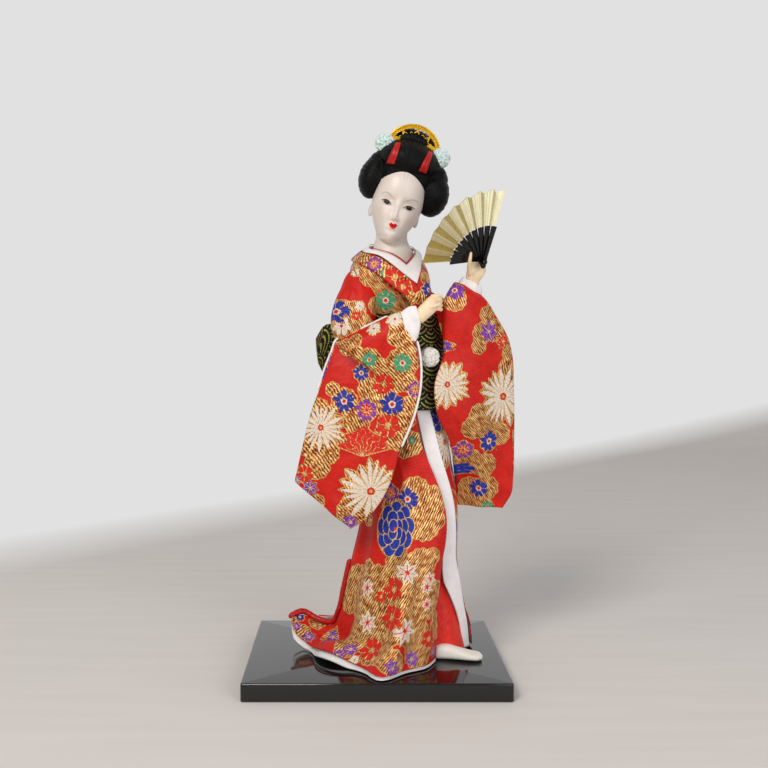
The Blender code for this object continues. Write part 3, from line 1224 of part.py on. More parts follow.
def build():
    board()
    leg_wire("leg_wire_left", LEG_LEFT_X)
    leg_wire("leg_wire_right", LEG_RIGHT_X)
    core, robe, over, torso = robe_pieces(head_pieces())
    skirt, band, back = skirt_pieces()
    loops, sash_space = sash_pieces(back)
    arm_pieces(core, robe, over, torso, sash_space, loops, [skirt, band, back])
    fan_pieces()


build()
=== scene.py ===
"""Looks of a standing kimono doll: brocade robe, sash tied in a bow, dressed hair, painted face and
a gilt folding fan, on a lacquered board.

Every shape is a surface worked out with numpy, in millimetres in the figure's own frame: origin on
the board's top, x to the viewer's right, y away from the viewer, z up. Its points become metres in
the row's frame when its mesh is made. Left and right in the names are the doll's own.
"""

import math
from functools import partial

import bmesh
import bpy
import numpy as np
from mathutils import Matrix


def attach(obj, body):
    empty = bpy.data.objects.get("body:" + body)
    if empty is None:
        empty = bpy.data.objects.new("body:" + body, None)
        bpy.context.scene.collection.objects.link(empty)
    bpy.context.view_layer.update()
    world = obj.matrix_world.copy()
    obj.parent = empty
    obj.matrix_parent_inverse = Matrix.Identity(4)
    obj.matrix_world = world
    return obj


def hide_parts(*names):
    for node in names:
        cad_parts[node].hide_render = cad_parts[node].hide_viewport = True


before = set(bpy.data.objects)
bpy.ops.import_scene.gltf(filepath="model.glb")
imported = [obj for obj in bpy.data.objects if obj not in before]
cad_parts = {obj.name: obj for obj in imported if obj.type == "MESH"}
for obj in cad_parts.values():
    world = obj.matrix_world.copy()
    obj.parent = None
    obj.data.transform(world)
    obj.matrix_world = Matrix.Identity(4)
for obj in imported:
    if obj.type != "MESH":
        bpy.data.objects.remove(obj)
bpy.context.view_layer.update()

MM = 0.001
BOARD_WIDTH, BOARD_DEPTH, BOARD_THICKNESS, BOARD_CORNER, BOARD_EDGE = 138.0, 108.0, 9.5, 1.4, 0.9
TORSO_YAW = 20.0
CLOTH = 1.0
PIPING_RADIUS = 0.35
EDGING_RADIUS = 0.55
HEM_ROLL_RADIUS = 1.7
OBI_BOTTOM, OBI_TOP, OBI_THICKNESS = 134.5, 187.0, 1.4
WAIST_CENTRE, WAIST_HEIGHT = (20.5, 4.0), 138.5
WAIST_HALF_WIDTH, WAIST_HALF_DEPTH = 18.5, 15.0
BOW_PLACE_HEIGHT, BOW_SINK, BOW_HALF_WIDTH, BOW_HEIGHT = 167.0, 1.6, 46.0, 30.0
KNOT_HALF_WIDTH, KNOT_HALF_DEPTH = 8.0, 5.0
TAIL_LENGTH, TAIL_WIDTH = 34.0, 15.0
HEAD_PLACE, HEAD_ROLL, HEAD_YAW = (12.0, -1.1, 246.5), 15.0, 2.6
NECK_RADIUS = 8.7
COMB_RADIUS, COMB_PLACE, COMB_LEAN = 16.2, (0.6, 1.5, 32.0), 8.0
FLOWER_PLACE, FLOWER_SPREAD, FLOWER_RADIUS = (0.6, -1.0, 33.2), 16.0, 5.4
RIBBON_SPREAD, RIBBON_WIDTH = 9.2, 4.2
OBI_FLOWER_PLACE, OBI_FLOWER_RADIUS = (29.5, -17.0, 163.6), 5.3
FINGER_RADIUS = 1.12
FAN_PIVOT, FAN_RADIUS, FAN_FROM, FAN_TO = (57.8, -14.0, 216.0), 40.5, 21.0, 119.0
STICK_COUNT, STICK_LENGTH, STICK_PITCH, PLEAT_DEPTH = 9, 20.0, 0.65, 2.6

# The front view that the motifs of the brocade are placed by: its eye in mm, its distance to the
# picture in steps of the 768 wide view, the step that lies straight ahead, and the size of a step
# on the robe's front in mm
EYE = np.array((-12.8, -529.8, 173.7))
VIEW_REACH, VIEW_CENTRE, STEP = 946.4, (351.7, 338.4), 0.54
VIEW_WIDTH = 768

# A field's distance in mm where nothing is woven or painted
BARE = -9.0


# Frames and paths


def about(axis, degrees):
    """The matrix of a turn about the axis x, y or z."""
    k = "xyz".index(axis)
    first, second = (k + 1) % 3, (k + 2) % 3
    turn = np.eye(3)
    turn[first, first] = turn[second, second] = math.cos(math.radians(degrees))
    turn[second, first] = math.sin(math.radians(degrees))
    turn[first, second] = -turn[second, first]
    return turn


HEAD_TURN = about("y", HEAD_ROLL) @ about("z", HEAD_YAW)


def in_head(points):
    """From the head's own frame to the figure's."""
    return np.asarray(points, float) @ HEAD_TURN.T + HEAD_PLACE


def from_figure_to_head(points):
    return (np.asarray(points, float) - HEAD_PLACE) @ HEAD_TURN


def fan_turn():
    """Columns are the fan's own axes: up along its middle, to its back, and along its spread."""
    up = np.array((0.5, 0.0, 0.866))
    up /= np.linalg.norm(up)
    side = np.array((-0.658, -0.65, 0.38))
    side -= up * (side @ up)
    side /= np.linalg.norm(side)
    return np.stack([up, np.cross(side, up), side], axis=1)


def in_fan(points):
    return np.asarray(points, float) @ fan_turn().T + FAN_PIVOT


def read_at(at, keys, where):
    """Rows of keys given at the parameters at, read at where along a smooth Hermite curve."""
    at, keys = np.asarray(at, float), np.asarray(keys, float)
    slope = np.gradient(keys, at, axis=0)
    k = np.clip(np.searchsorted(at, where, side="right") - 1, 0, len(at) - 2)
    span = (at[k + 1] - at[k])[:, None]
    s = (where - at[k])[:, None] / span
    near = keys[k] * (1 + 2 * s) + slope[k] * span * s
    far = keys[k + 1] * (3 - 2 * s) + slope[k + 1] * span * (s - 1)
    return near * (1 - s) ** 2 + far * s * s


def through(points, count):
    """Stations spaced evenly along a smooth curve through the points."""
    points = np.asarray(points, float)
    steps = np.linalg.norm(np.diff(points[:, :3], axis=0), axis=1)
    chord = np.concatenate([[0], np.cumsum(steps)])
    return read_at(chord, points, np.linspace(0, chord[-1], count))


def turns(count):
    """Angles spaced evenly round a whole turn."""
    return np.linspace(0, 2 * math.pi, count, endpoint=False)


def points(x, y, z):
    """Points from their three coordinates, each spread over the shape of all."""
    return np.stack(np.broadcast_arrays(x, y, z), axis=-1)


def unit(vectors):
    return vectors / (np.linalg.norm(vectors, axis=-1, keepdims=True) + 1e-12)


def oval(x, y, z, half_width, half_depth, yaw=TORSO_YAW):
    """A level oval as a key of ovals: its left point, right point and half depth."""
    c, s = math.cos(math.radians(yaw)), math.sin(math.radians(yaw))
    dx, dy = half_width * c, half_width * s
    return (x - dx, y - dy, z, x + dx, y + dy, z, half_depth)


def ovals(keys, rows, around, wave=None, squareness=1.0):
    """Rings through keys of (left point, right point, half depth). A ring's point lies at half the
    line across times cos a, and at the depth times sin a square to it and to the way the rings go;
    wave adds a shift along that normal, from the place across (-1 to 1) and along (0 to 1)."""
    keys = np.asarray(keys, float)
    middle = (keys[:, :3] + keys[:, 3:6]) / 2
    at = np.concatenate([[0], np.cumsum(np.linalg.norm(np.diff(middle, axis=0), axis=1))])
    along = np.linspace(0, 1, rows)
    row = read_at(at, keys, along * at[-1])
    centre, half = (row[:, :3] + row[:, 3:6]) / 2, (row[:, 3:6] - row[:, :3]) / 2
    normal = unit(np.cross(half, np.gradient(centre, axis=0)))
    angle = turns(around) if np.isscalar(around) else around
    across = np.sign(np.cos(angle)) * np.abs(np.cos(angle)) ** squareness
    deep = np.sign(np.sin(angle)) * np.abs(np.sin(angle)) ** squareness
    shift = 0 if wave is None else wave(across[None, :], along[:, None], angle[None, :])
    out = row[:, 6][:, None] * deep[None, :] + shift
    return centre[:, None] + half[:, None] * across[None, :, None] + normal[:, None] * out[:, :, None]


def patch(top, bottom, near, far, rows, columns, hug=1.0):
    """A Coons patch: the surface blended between four edge curves. Below the top the shape of the
    bottom edge comes in as the power hug of the way down, so a skirt hugs before it flares."""
    u, v = np.linspace(0, 1, columns)[None, :, None], np.linspace(0, 1, rows)[:, None, None]
    down = v**hug
    top, bottom = through(top, columns)[None], through(bottom, columns)[None]
    near, far = through(near, rows)[:, None], through(far, rows)[:, None]
    corners = (1 - down) * ((1 - u) * near[:1] + u * far[:1]) + down * ((1 - u) * near[-1:] + u * far[-1:])
    return (1 - down) * top + down * bottom + (1 - u) * near + u * far - corners


def grid_normals(grid, around=False):
    """Unit normals of a grid: the cross product of its steps across and down."""
    if around:
        across = np.roll(grid, -1, axis=1) - np.roll(grid, 1, axis=1)
    else:
        across = np.gradient(grid, axis=1)
    return unit(np.cross(across, np.gradient(grid, axis=0)))


def towards(grid, way):
    """A grid's unit normals on the side that a way points to."""
    normals = grid_normals(grid)
    return normals * np.sign((normals @ way).sum())


def outward(grid, around=False, axis=None):
    """Normals turned away from the ring's middle, or from an upright axis at (x, y)."""
    normals = grid_normals(grid, around)
    middle = grid.mean(axis=1, keepdims=True) if axis is None else np.array((*axis, 0.0))
    away = (grid - middle) * (1, 1, 0 if axis else 1)
    return normals * np.sign((normals * away).sum())


def creases(x, y, seed, size):
    """Soft irregular folds from -1 to 1: a sum of slow waves in seeded directions, each one's
    phase bent by the sum before it. size is the usual distance between folds, in the units of x."""
    rng = np.random.default_rng(seed)
    total = np.zeros(np.broadcast(x, y).shape)
    for k in range(6):
        way = rng.uniform(0, math.pi)
        pitch = size * rng.uniform(0.7, 1.6)
        phase = (x * math.cos(way) + y * math.sin(way)) * 2 * math.pi / pitch
        total = total + np.sin(phase + rng.uniform(0, 6.3) + 0.9 * total) / 6**0.5
    return total / 1.6


# Meshes


def placed(name, mesh):
    """A piece at the origin, unturned, that rides on the figure's one body."""
    obj = bpy.data.objects.new(name, mesh)
    bpy.context.scene.collection.objects.link(obj)
    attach(obj, "root")
    return obj


def object_of(name, verts, faces, finishes, uv=None, fields=None, slots=None):
    """A piece from points in mm: faces are lists of indices, uv is given face corner by face corner."""
    mesh = bpy.data.meshes.new(name)
    mesh.from_pydata(((np.asarray(verts) + (0, 0, BOARD_THICKNESS)) * MM).tolist(), [], faces)
    for finish in finishes:
        mesh.materials.append(finish)
    if uv is not None:
        mesh.uv_layers.new(name="cloth").data.foreach_set("uv", np.asarray(uv, np.float32).ravel())
    for key, values in (fields or {}).items():
        mesh.attributes.new(key, "FLOAT", "POINT").data.foreach_set("value", values.astype(np.float32).ravel())
    if slots is not None:
        mesh.polygons.foreach_set("material_index", np.asarray(slots, np.int32))
    mesh.shade_smooth()
    return placed(name, mesh)


def stands_for(obj, slot, *nodes):
    """Hides the CAD nodes that a piece is drawn instead of; the piece and its slot are not used."""
    if nodes:
        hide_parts(*nodes)


def quads(rows, columns, around=False):
    """Corner indices of a grid's faces, as rows and columns; around joins the last column to the
    first."""
    r, c = np.meshgrid(np.arange(rows - 1), np.arange(columns if around else columns - 1), indexing="ij")
    r, c = r.ravel(), c.ravel()
    return np.stack([r, r, r + 1, r + 1], 1), np.stack([c, c + 1, c + 1, c], 1)


def lengths(grid, around=False, hold=0.5):
    """Cloth coordinates of a grid in metres: arc length across each row, from the column that hold
    gives as a share, and arc length down each column."""
    wide = np.concatenate([grid, grid[:, :1]], axis=1) if around else grid
    steps_across = np.linalg.norm(np.diff(wide, axis=1), axis=2)
    steps_down = np.linalg.norm(np.diff(wide, axis=0), axis=2)
    across = np.pad(np.cumsum(steps_across, axis=1), ((0, 0), (1, 0)))
    across -= across[:, round(hold * (across.shape[1] - 1))][:, None]
    down = np.pad(np.cumsum(steps_down, axis=0), ((1, 0), (0, 0)))
    return np.stack([across, down], axis=2) * MM


def closed(name, grid, finish, fields=None, loop=False):
    """A closed piece through rings of points. A fan of faces to its middle closes each end ring, or
    in a loop the last ring joins the first."""
    rows, around, _ = grid.shape
    full = np.concatenate([grid, grid[:1]]) if loop else grid
    r, c = quads(len(full), around, True)
    faces = (r % rows) * around + c % around
    cloth = lengths(full, True)
    uv = cloth[r, c].reshape(-1, 2)
    verts = grid.reshape(-1, 3)
    fields = {k: v.ravel() for k, v in (fields or {}).items()}
    ends = np.zeros((0, 3), int)
    if not loop:
        verts = np.concatenate([verts, grid[:1].mean(axis=1), grid[-1:].mean(axis=1)])
        fields = {k: np.concatenate([v, (v[0], v[-1])]) for k, v in fields.items()}
        i, n = np.arange(around), (np.arange(around) + 1) % around
        middle, last = np.full(around, rows * around), (rows - 1) * around
        top = np.stack([middle, n, i], 1)
        low = np.stack([middle + 1, last + i, last + n], 1)
        ends = np.concatenate([top, low])
        end_uv = np.repeat(np.concatenate([cloth[0, :around], cloth[-1, :around]]), 3, axis=0)
        uv = np.concatenate([uv, end_uv])
    corner = verts[np.concatenate([faces[:, [0, 1, 2]], faces[:, [0, 2, 3]], ends])]
    volume = (np.cross(corner[:, 0], corner[:, 1]) * corner[:, 2]).sum()
    obj = object_of(name, verts, faces.tolist() + ends.tolist(), [finish], uv, fields)
    if volume < 0:
        obj.data.flip_normals()
    return obj


def shell(name, grid, out, finishes, thickness=0.8, step=6, fields=None, hold=0.5):
    """A sheet of cloth with two faces: the fine grid outside, a coarse copy of it a thickness
    behind, and a narrow rim of faces between them. out holds the outer side's unit normals."""
    rows, columns, _ = grid.shape
    inner_rows, inner_columns = np.arange(0, rows, step), np.arange(0, columns, step)
    assert inner_rows[-1] == rows - 1 and inner_columns[-1] == columns - 1, name
    inner = (grid - out * thickness)[np.ix_(inner_rows, inner_columns)]
    verts = np.concatenate([grid.reshape(-1, 3), inner.reshape(-1, 3)])
    r, c = quads(rows, columns)
    outer_faces = r * columns + c
    cloth = lengths(grid, hold=hold)
    uv = [cloth[r, c].reshape(-1, 2)]
    ri, ci = quads(len(inner_rows), len(inner_columns))
    base = rows * columns
    inner_faces = (base + ri * len(inner_columns) + ci)[:, ::-1]
    uv.append(cloth[np.ix_(inner_rows, inner_columns)][ri, ci][:, ::-1].reshape(-1, 2))
    edge = [(0, k) for k in range(columns)] + [(k, columns - 1) for k in range(1, rows)]
    edge += [(rows - 1, k) for k in range(columns - 2, -1, -1)] + [(k, 0) for k in range(rows - 2, 0, -1)]
    rim = []
    rim_uv = []
    for start in range(0, len(edge), step):
        run = [edge[(start + k) % len(edge)] for k in range(step + 1)]
        back = [base + (rr // step) * len(inner_columns) + cc // step for rr, cc in (run[0], run[-1])]
        rim.append([rr * columns + cc for rr, cc in reversed(run)] + back)
        rim_uv += [cloth[rr, cc] for rr, cc in reversed(run)] + [cloth[run[0]], cloth[run[-1]]]
    uv.append(np.array(rim_uv))
    faces = outer_faces.tolist() + inner_faces.tolist() + rim
    slots = np.zeros(len(faces))
    slots[len(outer_faces):len(faces) - len(rim)] = len(finishes) - 1
    if fields:
        bare = np.full(inner[..., 0].size, BARE)
        fields = {k: np.concatenate([v.ravel(), bare]) for k, v in fields.items()}
    obj = object_of(name, verts, faces, finishes, np.concatenate(uv), fields, slots)
    if (grid_normals(grid) * out).sum() < 0:
        obj.data.flip_normals()
    return obj


def tube(points, radius, count, sides=10, cyclic=False, taper=None):
    """Rings round a smooth path: each ring's two axes come from the path's direction and a fixed
    sideways way, and taper scales the radius from start (0) to end (1)."""
    line = through(points, count)
    way = unit(np.gradient(line, axis=0))
    if cyclic:
        line = line[:-1]
        way = unit(np.roll(line, -1, axis=0) - np.roll(line, 1, axis=0))
    sideways = np.array((0.31, -0.9, 0.3))
    a = unit(np.cross(way, sideways))
    b = np.cross(way, a)
    size = radius * (1 if taper is None else taper(np.linspace(0, 1, len(line))))
    size = np.broadcast_to(size, (len(line),))
    angle = turns(sides)
    ring = a[:, None] * np.cos(angle)[None, :, None] + b[:, None] * np.sin(angle)[None, :, None]
    return line[:, None] + ring * size[:, None, None]


def joined(name, grids, finish):
    """Several closed ring grids as one piece."""
    made = [closed(f"{name}_part_{i}", grid, finish) for i, grid in enumerate(grids)]
    work = bmesh.new()
    for obj in made:
        work.from_mesh(obj.data)
    mesh = bpy.data.meshes.new(name)
    work.to_mesh(mesh)
    work.free()
    mesh.materials.append(finish)
    mesh.shade_smooth()
    for obj in made:
        bpy.data.objects.remove(obj)
    return placed(name, mesh)


def cast(obj, voxel, rounds):
    """Fuses a piece's overlapping forms into one skin, as casting does, and smooths the joins."""
    remesh = obj.modifiers.new("Remesh", "REMESH")
    remesh.mode = "VOXEL"
    remesh.voxel_size = voxel * MM
    smooth = obj.modifiers.new("Smooth", "SMOOTH")
    smooth.factor = 0.5
    smooth.iterations = rounds
    bpy.context.view_layer.update()
    mesh = bpy.data.meshes.new_from_object(obj.evaluated_get(bpy.context.evaluated_depsgraph_get()))
    obj.modifiers.clear()
    finish = obj.data.materials[0]
    obj.data = mesh
    mesh.materials.clear()
    mesh.materials.append(finish)
    mesh.shade_smooth()
    return obj


def points_of(obj):
    """A piece's points in mm in the figure's frame."""
    co = np.zeros(len(obj.data.vertices) * 3)
    obj.data.vertices.foreach_get("co", co)
    return co.reshape(-1, 3) / MM - (0, 0, BOARD_THICKNESS)


# Materials


def linear(colour):
    """A colour of sRGB hex digits, such as e0200e, in the linear values that shaders take."""
    rgb = np.array([int(colour[i:i + 2], 16) for i in (0, 2, 4)]) / 255
    return (*np.where(rgb <= 0.04045, rgb / 12.92, ((rgb + 0.055) / 1.055) ** 2.4).tolist(), 1.0)


def main_output(source):
    """A node's first output in use; anything else stays as it is."""
    return next(o for o in source.outputs if o.enabled) if isinstance(source, bpy.types.Node) else source


def add(finish, kind, settings=None, **inputs):
    """Adds a node to a material, sets it and links its inputs; i6 means the input of index 6."""
    tree = finish.node_tree
    made = tree.nodes.new("ShaderNode" + kind)
    for key, value in (settings or {}).items():
        setattr(made, key, value)
    for key, value in inputs.items():
        by_index = key[0] == "i" and key[1:].isdigit()
        socket = made.inputs[int(key[1:]) if by_index else key.replace("_", " ")]
        value = main_output(value)
        if isinstance(value, bpy.types.NodeSocket):
            tree.links.new(value, socket)
        else:
            socket.default_value = value
    return made


def finish_of(name, **settings):
    """A new material, with plain settings on its shader's own inputs."""
    made = bpy.data.materials.new(name)
    made.use_nodes = True
    for key, value in settings.items():
        made.node_tree.nodes["Principled BSDF"].inputs[key.replace("_", " ")].default_value = value
    return made


def drive(finish, node="Principled BSDF", **sources):
    """Leads nodes into the inputs of a material's shader, or of another of its nodes."""
    for key, source in sources.items():
        socket = finish.node_tree.nodes[node].inputs[key.replace("_", " ")]
        finish.node_tree.links.new(main_output(source), socket)


def mix(finish, factor, first, second):
    """A blend of two colours, each a node, an output or sRGB hex digits."""
    first, second = (linear(c) if isinstance(c, str) else c for c in (first, second))
    return add(finish, "Mix", {"data_type": "RGBA"}, i0=factor, i6=first, i7=second).outputs[2]


def math_of(finish, operation, *values):
    return add(finish, "Math", {"operation": operation}, **{f"i{k}": v for k, v in enumerate(values)})


def times(finish, first, second, plus=None):
    """One value times another, and a third added to them."""
    if plus is None:
        return math_of(finish, "MULTIPLY", first, second)
    return math_of(finish, "MULTIPLY_ADD", first, second, plus)


def spread(finish, value, low, high, to_low=0.0, to_high=1.0):
    """The stretch of a value from low to high, drawn out to another one and kept inside it."""
    return add(finish, "MapRange", Value=value, From_Min=low, From_Max=high,
               To_Min=to_low, To_Max=to_high)


def painted_on(finish, name):
    """The value of a field on a piece's points."""
    return add(finish, "Attribute", {"attribute_name": name}).outputs["Fac"]


def mask(finish, name, soft=0.07):
    """1 inside a painted field and 0 outside it: the field is a distance in mm to its outline."""
    return spread(finish, painted_on(finish, name), -soft, soft)


def scaled_cloth(finish, across, down, turn=0.0):
    """The cloth's own coordinates, turned and then counted in threads of these widths in mm."""
    uv = add(finish, "UVMap", {"uv_map": "cloth"})
    return add(finish, "Mapping", {"vector_type": "TEXTURE"}, Vector=uv, Rotation=(0, 0, math.radians(turn)),
               Scale=(across * MM, down * MM, 1))


def woven(finish, across, down, detail, turn=0.0, **more):
    """Noise that runs with the cloth's threads."""
    threads = scaled_cloth(finish, across, down, turn)
    return add(finish, "TexNoise", Vector=threads, Scale=1.0, Detail=detail, **more)


def grain(finish, size, detail):
    """Noise in the solid, in lumps of about a size in mm."""
    place = add(finish, "TexCoord").outputs["Object"]
    return add(finish, "TexNoise", Vector=place, Scale=1 / (size * MM), Detail=detail)


def relief(finish, height, strength, depth):
    """Bumps by a height, which stands for a depth in mm."""
    drive(finish, Normal=add(finish, "Bump", Strength=strength, Distance=depth * MM, Height=height))


def red_satin(name="red_rayon_satin", deep="8e0602", colour="d81408"):
    """Warp-faced satin: a smooth strong red with a soft band of sheen, and threads of about 0.3 mm
    drawn at 0.5 mm so that they show."""
    made = finish_of(name, Roughness=0.36, Specular_IOR_Level=0.4)
    threads = woven(made, 0.5, 3.0, 2.0)
    drive(made, Base_Color=mix(made, spread(made, threads, 0.3, 0.75), deep, colour))
    relief(made, threads, 0.12, 0.2)
    return made


GILT_STOPS = ((0.36, "96441a"), (0.5, "b66c2e"), (0.68, "d09048"))
SILKS = (
    ("white", "c9b29a", "f4ece0"), ("blue", "101a66", "2740b8"), ("green", "1c6a48", "58b488"),
    ("purple", "541c80", "9848bc"), ("red", "b80e05", "e62a12"))
GILT_PITCH, GILT_SLANT = 1.2, -35.0


def red_brocade():
    """Jacquard woven silk: red satin ground, clouds of gilt thread laid in at a slant with the
    ground showing dark between them, and flowers in coloured silk outlined by gilt. The gilt
    thread is brighter in patches of about 3.4 mm and at its palest stops, which are painted
    glints. The fields that say where each is woven are painted on the cloth's points; the last
    one, fold, is a painted shadow down in a tuck."""
    made = finish_of("red_gold_jacquard", Specular_IOR_Level=0.3)
    ribs = woven(made, 3.0, 0.45, 2.0)
    ground = mix(made, spread(made, ribs, 0.25, 0.7), "a00802", "dc1404")
    ground = mix(made, spread(made, woven(made, 9.0, 9.0, 1.0), 0.35, 0.75, 0.0, 0.35), ground, "ee2a0c")

    strands = woven(made, 0.7, 3.0, 2.0, GILT_SLANT)
    slanted = scaled_cloth(made, GILT_PITCH, GILT_PITCH, GILT_SLANT)
    laid = add(made, "TexWave", {"bands_direction": "X"}, Vector=slanted, Scale=0.314, Distortion=3.5,
               Detail=1.0, Detail_Scale=1.4)
    # The gilt thread's value: the slanted threads of the wave, dark where the ground shows between them, plus
    # brighter patches of about 3.4 mm; these and the pale top stop of the ramp are painted glints
    lit = times(made, laid.outputs["Fac"], 0.42, times(made, woven(made, 3.4, 3.4, 2.0), 0.8, strands))
    gilt_thread = add(made, "ValToRGB", Fac=spread(made, lit, 0.66, 1.46))
    stops = gilt_thread.color_ramp.elements
    stops[0].position, stops[0].color = 0.2, linear("64100a")
    stops[1].position, stops[1].color = 0.88, linear("ffe09a")
    for place, colour in GILT_STOPS:
        stops.new(place).color = linear(colour)

    silk = spread(made, woven(made, 0.5, 1.6, 1.0, 90.0), 0.3, 0.7)
    gold = mask(made, "gold")
    colour = mix(made, gold, ground, gilt_thread)
    outline = math_of(made, "COMPARE", painted_on(made, "gold"), 0.3, 0.28)
    colour = mix(made, times(made, outline, 0.65), colour, "dcae62")
    cover = None
    for name, dark, light in SILKS:
        here = mask(made, name)
        colour = mix(made, here, colour, mix(made, silk, dark, light))
        cover = here if cover is None else math_of(made, "MAXIMUM", cover, here)
    colour = mix(made, mask(made, "vein"), colour, mix(made, silk, "b07a34", "f4dc9c"))
    # Painted shadow: the fold field darkens the cloth down in the right sleeve's tuck
    colour = mix(made, times(made, painted_on(made, "fold"), 0.9), colour, "2a0604")

    metal = times(made, gold, math_of(made, "SUBTRACT", 1.0, cover))
    drive(made, Base_Color=colour, Metallic=times(made, metal, 0.35),
          Roughness=spread(made, metal, 0, 1, 0.5, 0.36))
    height = times(made, cover, 0.5, times(made, metal, strands))
    relief(made, times(made, ribs, 0.35, height), 0.8, 0.4)
    return made


def sash_brocade():
    """Black jacquard with stacked scales of gilt thread: rings about 2 mm apart, greener where the
    thread is loose and redder where it is worn."""
    made = finish_of("black_gold_jacquard", Specular_IOR_Level=0.2)
    strands = woven(made, 0.5, 0.5, 2.0)
    thread = mix(made, spread(made, woven(made, 14.0, 14.0, 1.0), 0.42, 0.6), "c4cc4c", "c08a4c")
    thread = mix(made, spread(made, strands, 0.35, 0.65), "3a3a14", thread)
    thread = mix(made, spread(made, strands, 0.56, 0.68), thread, "e4e08a")
    ring = mask(made, "ring", 0.1)
    drive(made, Base_Color=mix(made, ring, mix(made, strands, "040404", "12100d"), thread),
          Roughness=spread(made, ring, 0, 1, 0.6, 0.4), Metallic=times(made, ring, 0.4))
    relief(made, times(made, strands, 0.6, ring), 0.5, 0.3)
    return made


def white_silk():
    """Plain-woven white rayon: matt, slightly warm, with a weave of 0.25 mm drawn at 0.4 mm."""
    made = finish_of("white_rayon_plain_weave", Roughness=0.7, Sheen_Weight=0.2)
    threads = woven(made, 0.4, 0.9, 2.0)
    tint = mix(made, woven(made, 8.0, 5.0, 1.0), "ece6e6", "fbf7f5")
    drive(made, Base_Color=mix(made, spread(made, threads, 0.3, 0.6, 0.8), "ded7d8", tint))
    relief(made, threads, 0.25, 0.2)
    return made


def grained(name, size, detail, deep, pale, strength, depth, **settings):
    """A material whose colour and small relief follow one grain, size and depth in mm."""
    made = finish_of(name, **settings)
    lumps = grain(made, size, detail)
    drive(made, Base_Color=mix(made, lumps, deep, pale))
    relief(made, lumps, strength, depth)
    return made


def face_resin():
    """Cast resin sprayed flesh white and painted: satin, with a flush on the cheeks, red lips, black
    lash lines and thin grey brows, painted shade in the eye sockets and under the nose, and a
    painted highlight in each eye; their fields lie on the head's points."""
    made = finish_of("painted_cast_resin", Roughness=0.42, Subsurface_Weight=0.15, Subsurface_Scale=0.002,
                     Coat_Weight=0.12, Coat_Roughness=0.3, Subsurface_Radius=(1.0, 0.5, 0.35))
    skin = mix(made, grain(made, 7.0, 2.0), "ddd1c7", "e6dbd2")
    # flush is painted blush; socket is painted shade in the eye sockets, above the eyes and under the nose
    for name, colour in (("flush", "e2b4a4"), ("socket", "b8948c")):
        skin = mix(made, painted_on(made, name), skin, colour)
    # glint is a painted highlight: a small white dot on each eye
    for name, soft, colour in (("brow", 0.3, "b09c90"), ("crease", 0.14, "c4aaa0"), ("eyewhite", 0.1, "bdaea6"),
                               ("iris", 0.05, "040303"), ("lash", 0.06, "060404"), ("glint", 0.06, "ffffff"),
                               ("lips", 0.1, "dc1c10"), ("lipline", 0.1, "8c0c08"), ("stray", 0.07, "6e625e")):
        skin = mix(made, mask(made, name, soft), skin, colour)
    drive(made, Base_Color=skin, Roughness=spread(made, mask(made, "lips", 0.1), 0, 1, 0.42, 0.25))
    relief(made, grain(made, 0.8, 2.0), 0.04, 0.3)
    return made


def black_hair():
    """Combed synthetic hair, set with lacquer: strands of 0.08 mm drawn at 0.3 mm, so its highlight
    breaks into fine streaks along them."""
    made = finish_of("lacquered_synthetic_hair", Roughness=0.5, Specular_IOR_Level=0.14)
    strands = woven(made, 0.3, 14.0, 3.0, Roughness=0.7)
    locks = woven(made, 2.1, 28.0, 2.0)
    drive(made, Base_Color=mix(made, spread(made, strands, 0.35, 0.75), "010101", "0c0b0b"),
          Roughness=spread(made, locks, 0.3, 0.7, 0.28, 0.55))
    relief(made, times(made, locks, 1.5, strands), 0.5, 0.4)
    return made


def gilt():
    """Stamped and lacquered gilt brass of the comb: yellow, polished, a little uneven."""
    made = finish_of("gilt_stamped_brass", Metallic=0.5, Roughness=0.3)
    wear = grain(made, 2.2, 3.0)
    drive(made, Base_Color=mix(made, wear, "d0920c", "ffd634"),
          Roughness=spread(made, wear, 0.3, 0.7, 0.2, 0.42))
    relief(made, wear, 0.35, 0.4)
    return made


def gilt_paper():
    """Gold foil on paper, fairly glossy: the sides of the pleats that face the light are painted
    pale, a painted highlight, and the others deeper, painted shade, with streaks pressed along the folds."""
    made = finish_of("gold_foil_paper", Metallic=0.15, Roughness=0.34)
    streaks = add(made, "TexNoise", {"noise_dimensions": "1D"}, W=painted_on(made, "spread"),
                  Scale=95.0, Detail=2.0)
    blotch = woven(made, 5.0, 7.0, 2.0)
    # Painted light and shade: lit blends the foil from deep, on the pleats turned from the light, to pale, on
    # those that face it
    tone = mix(made, painted_on(made, "lit"), "a98f3e", "fffbd6")
    tone = mix(made, spread(made, streaks, 0.45, 0.75, 0.0, 0.35), tone, "8f7a30")
    tone = mix(made, spread(made, blotch, 0.62, 0.8, 0.0, 0.35), tone, "c07c34")
    drive(made, Base_Color=tone, Roughness=spread(made, blotch, 0.3, 0.7, 0.22, 0.42))
    relief(made, streaks, 0.3, 0.5)
    return made


def lacquer():
    """Sprayed black lacquer on the board: near mirror gloss with a faint orange peel."""
    made = finish_of("sprayed_black_lacquer", Roughness=0.1, Coat_Weight=0.3, Coat_Roughness=0.03)
    dust = grain(made, 0.7, 3.0)
    drive(made, Base_Color=mix(made, spread(made, dust, 0.66, 0.8), "090a0a", "2c2c28"),
          Roughness=spread(made, dust, 0.4, 0.8, 0.07, 0.16))
    relief(made, grain(made, 3.0, 1.0), 0.02, 0.5)
    return made


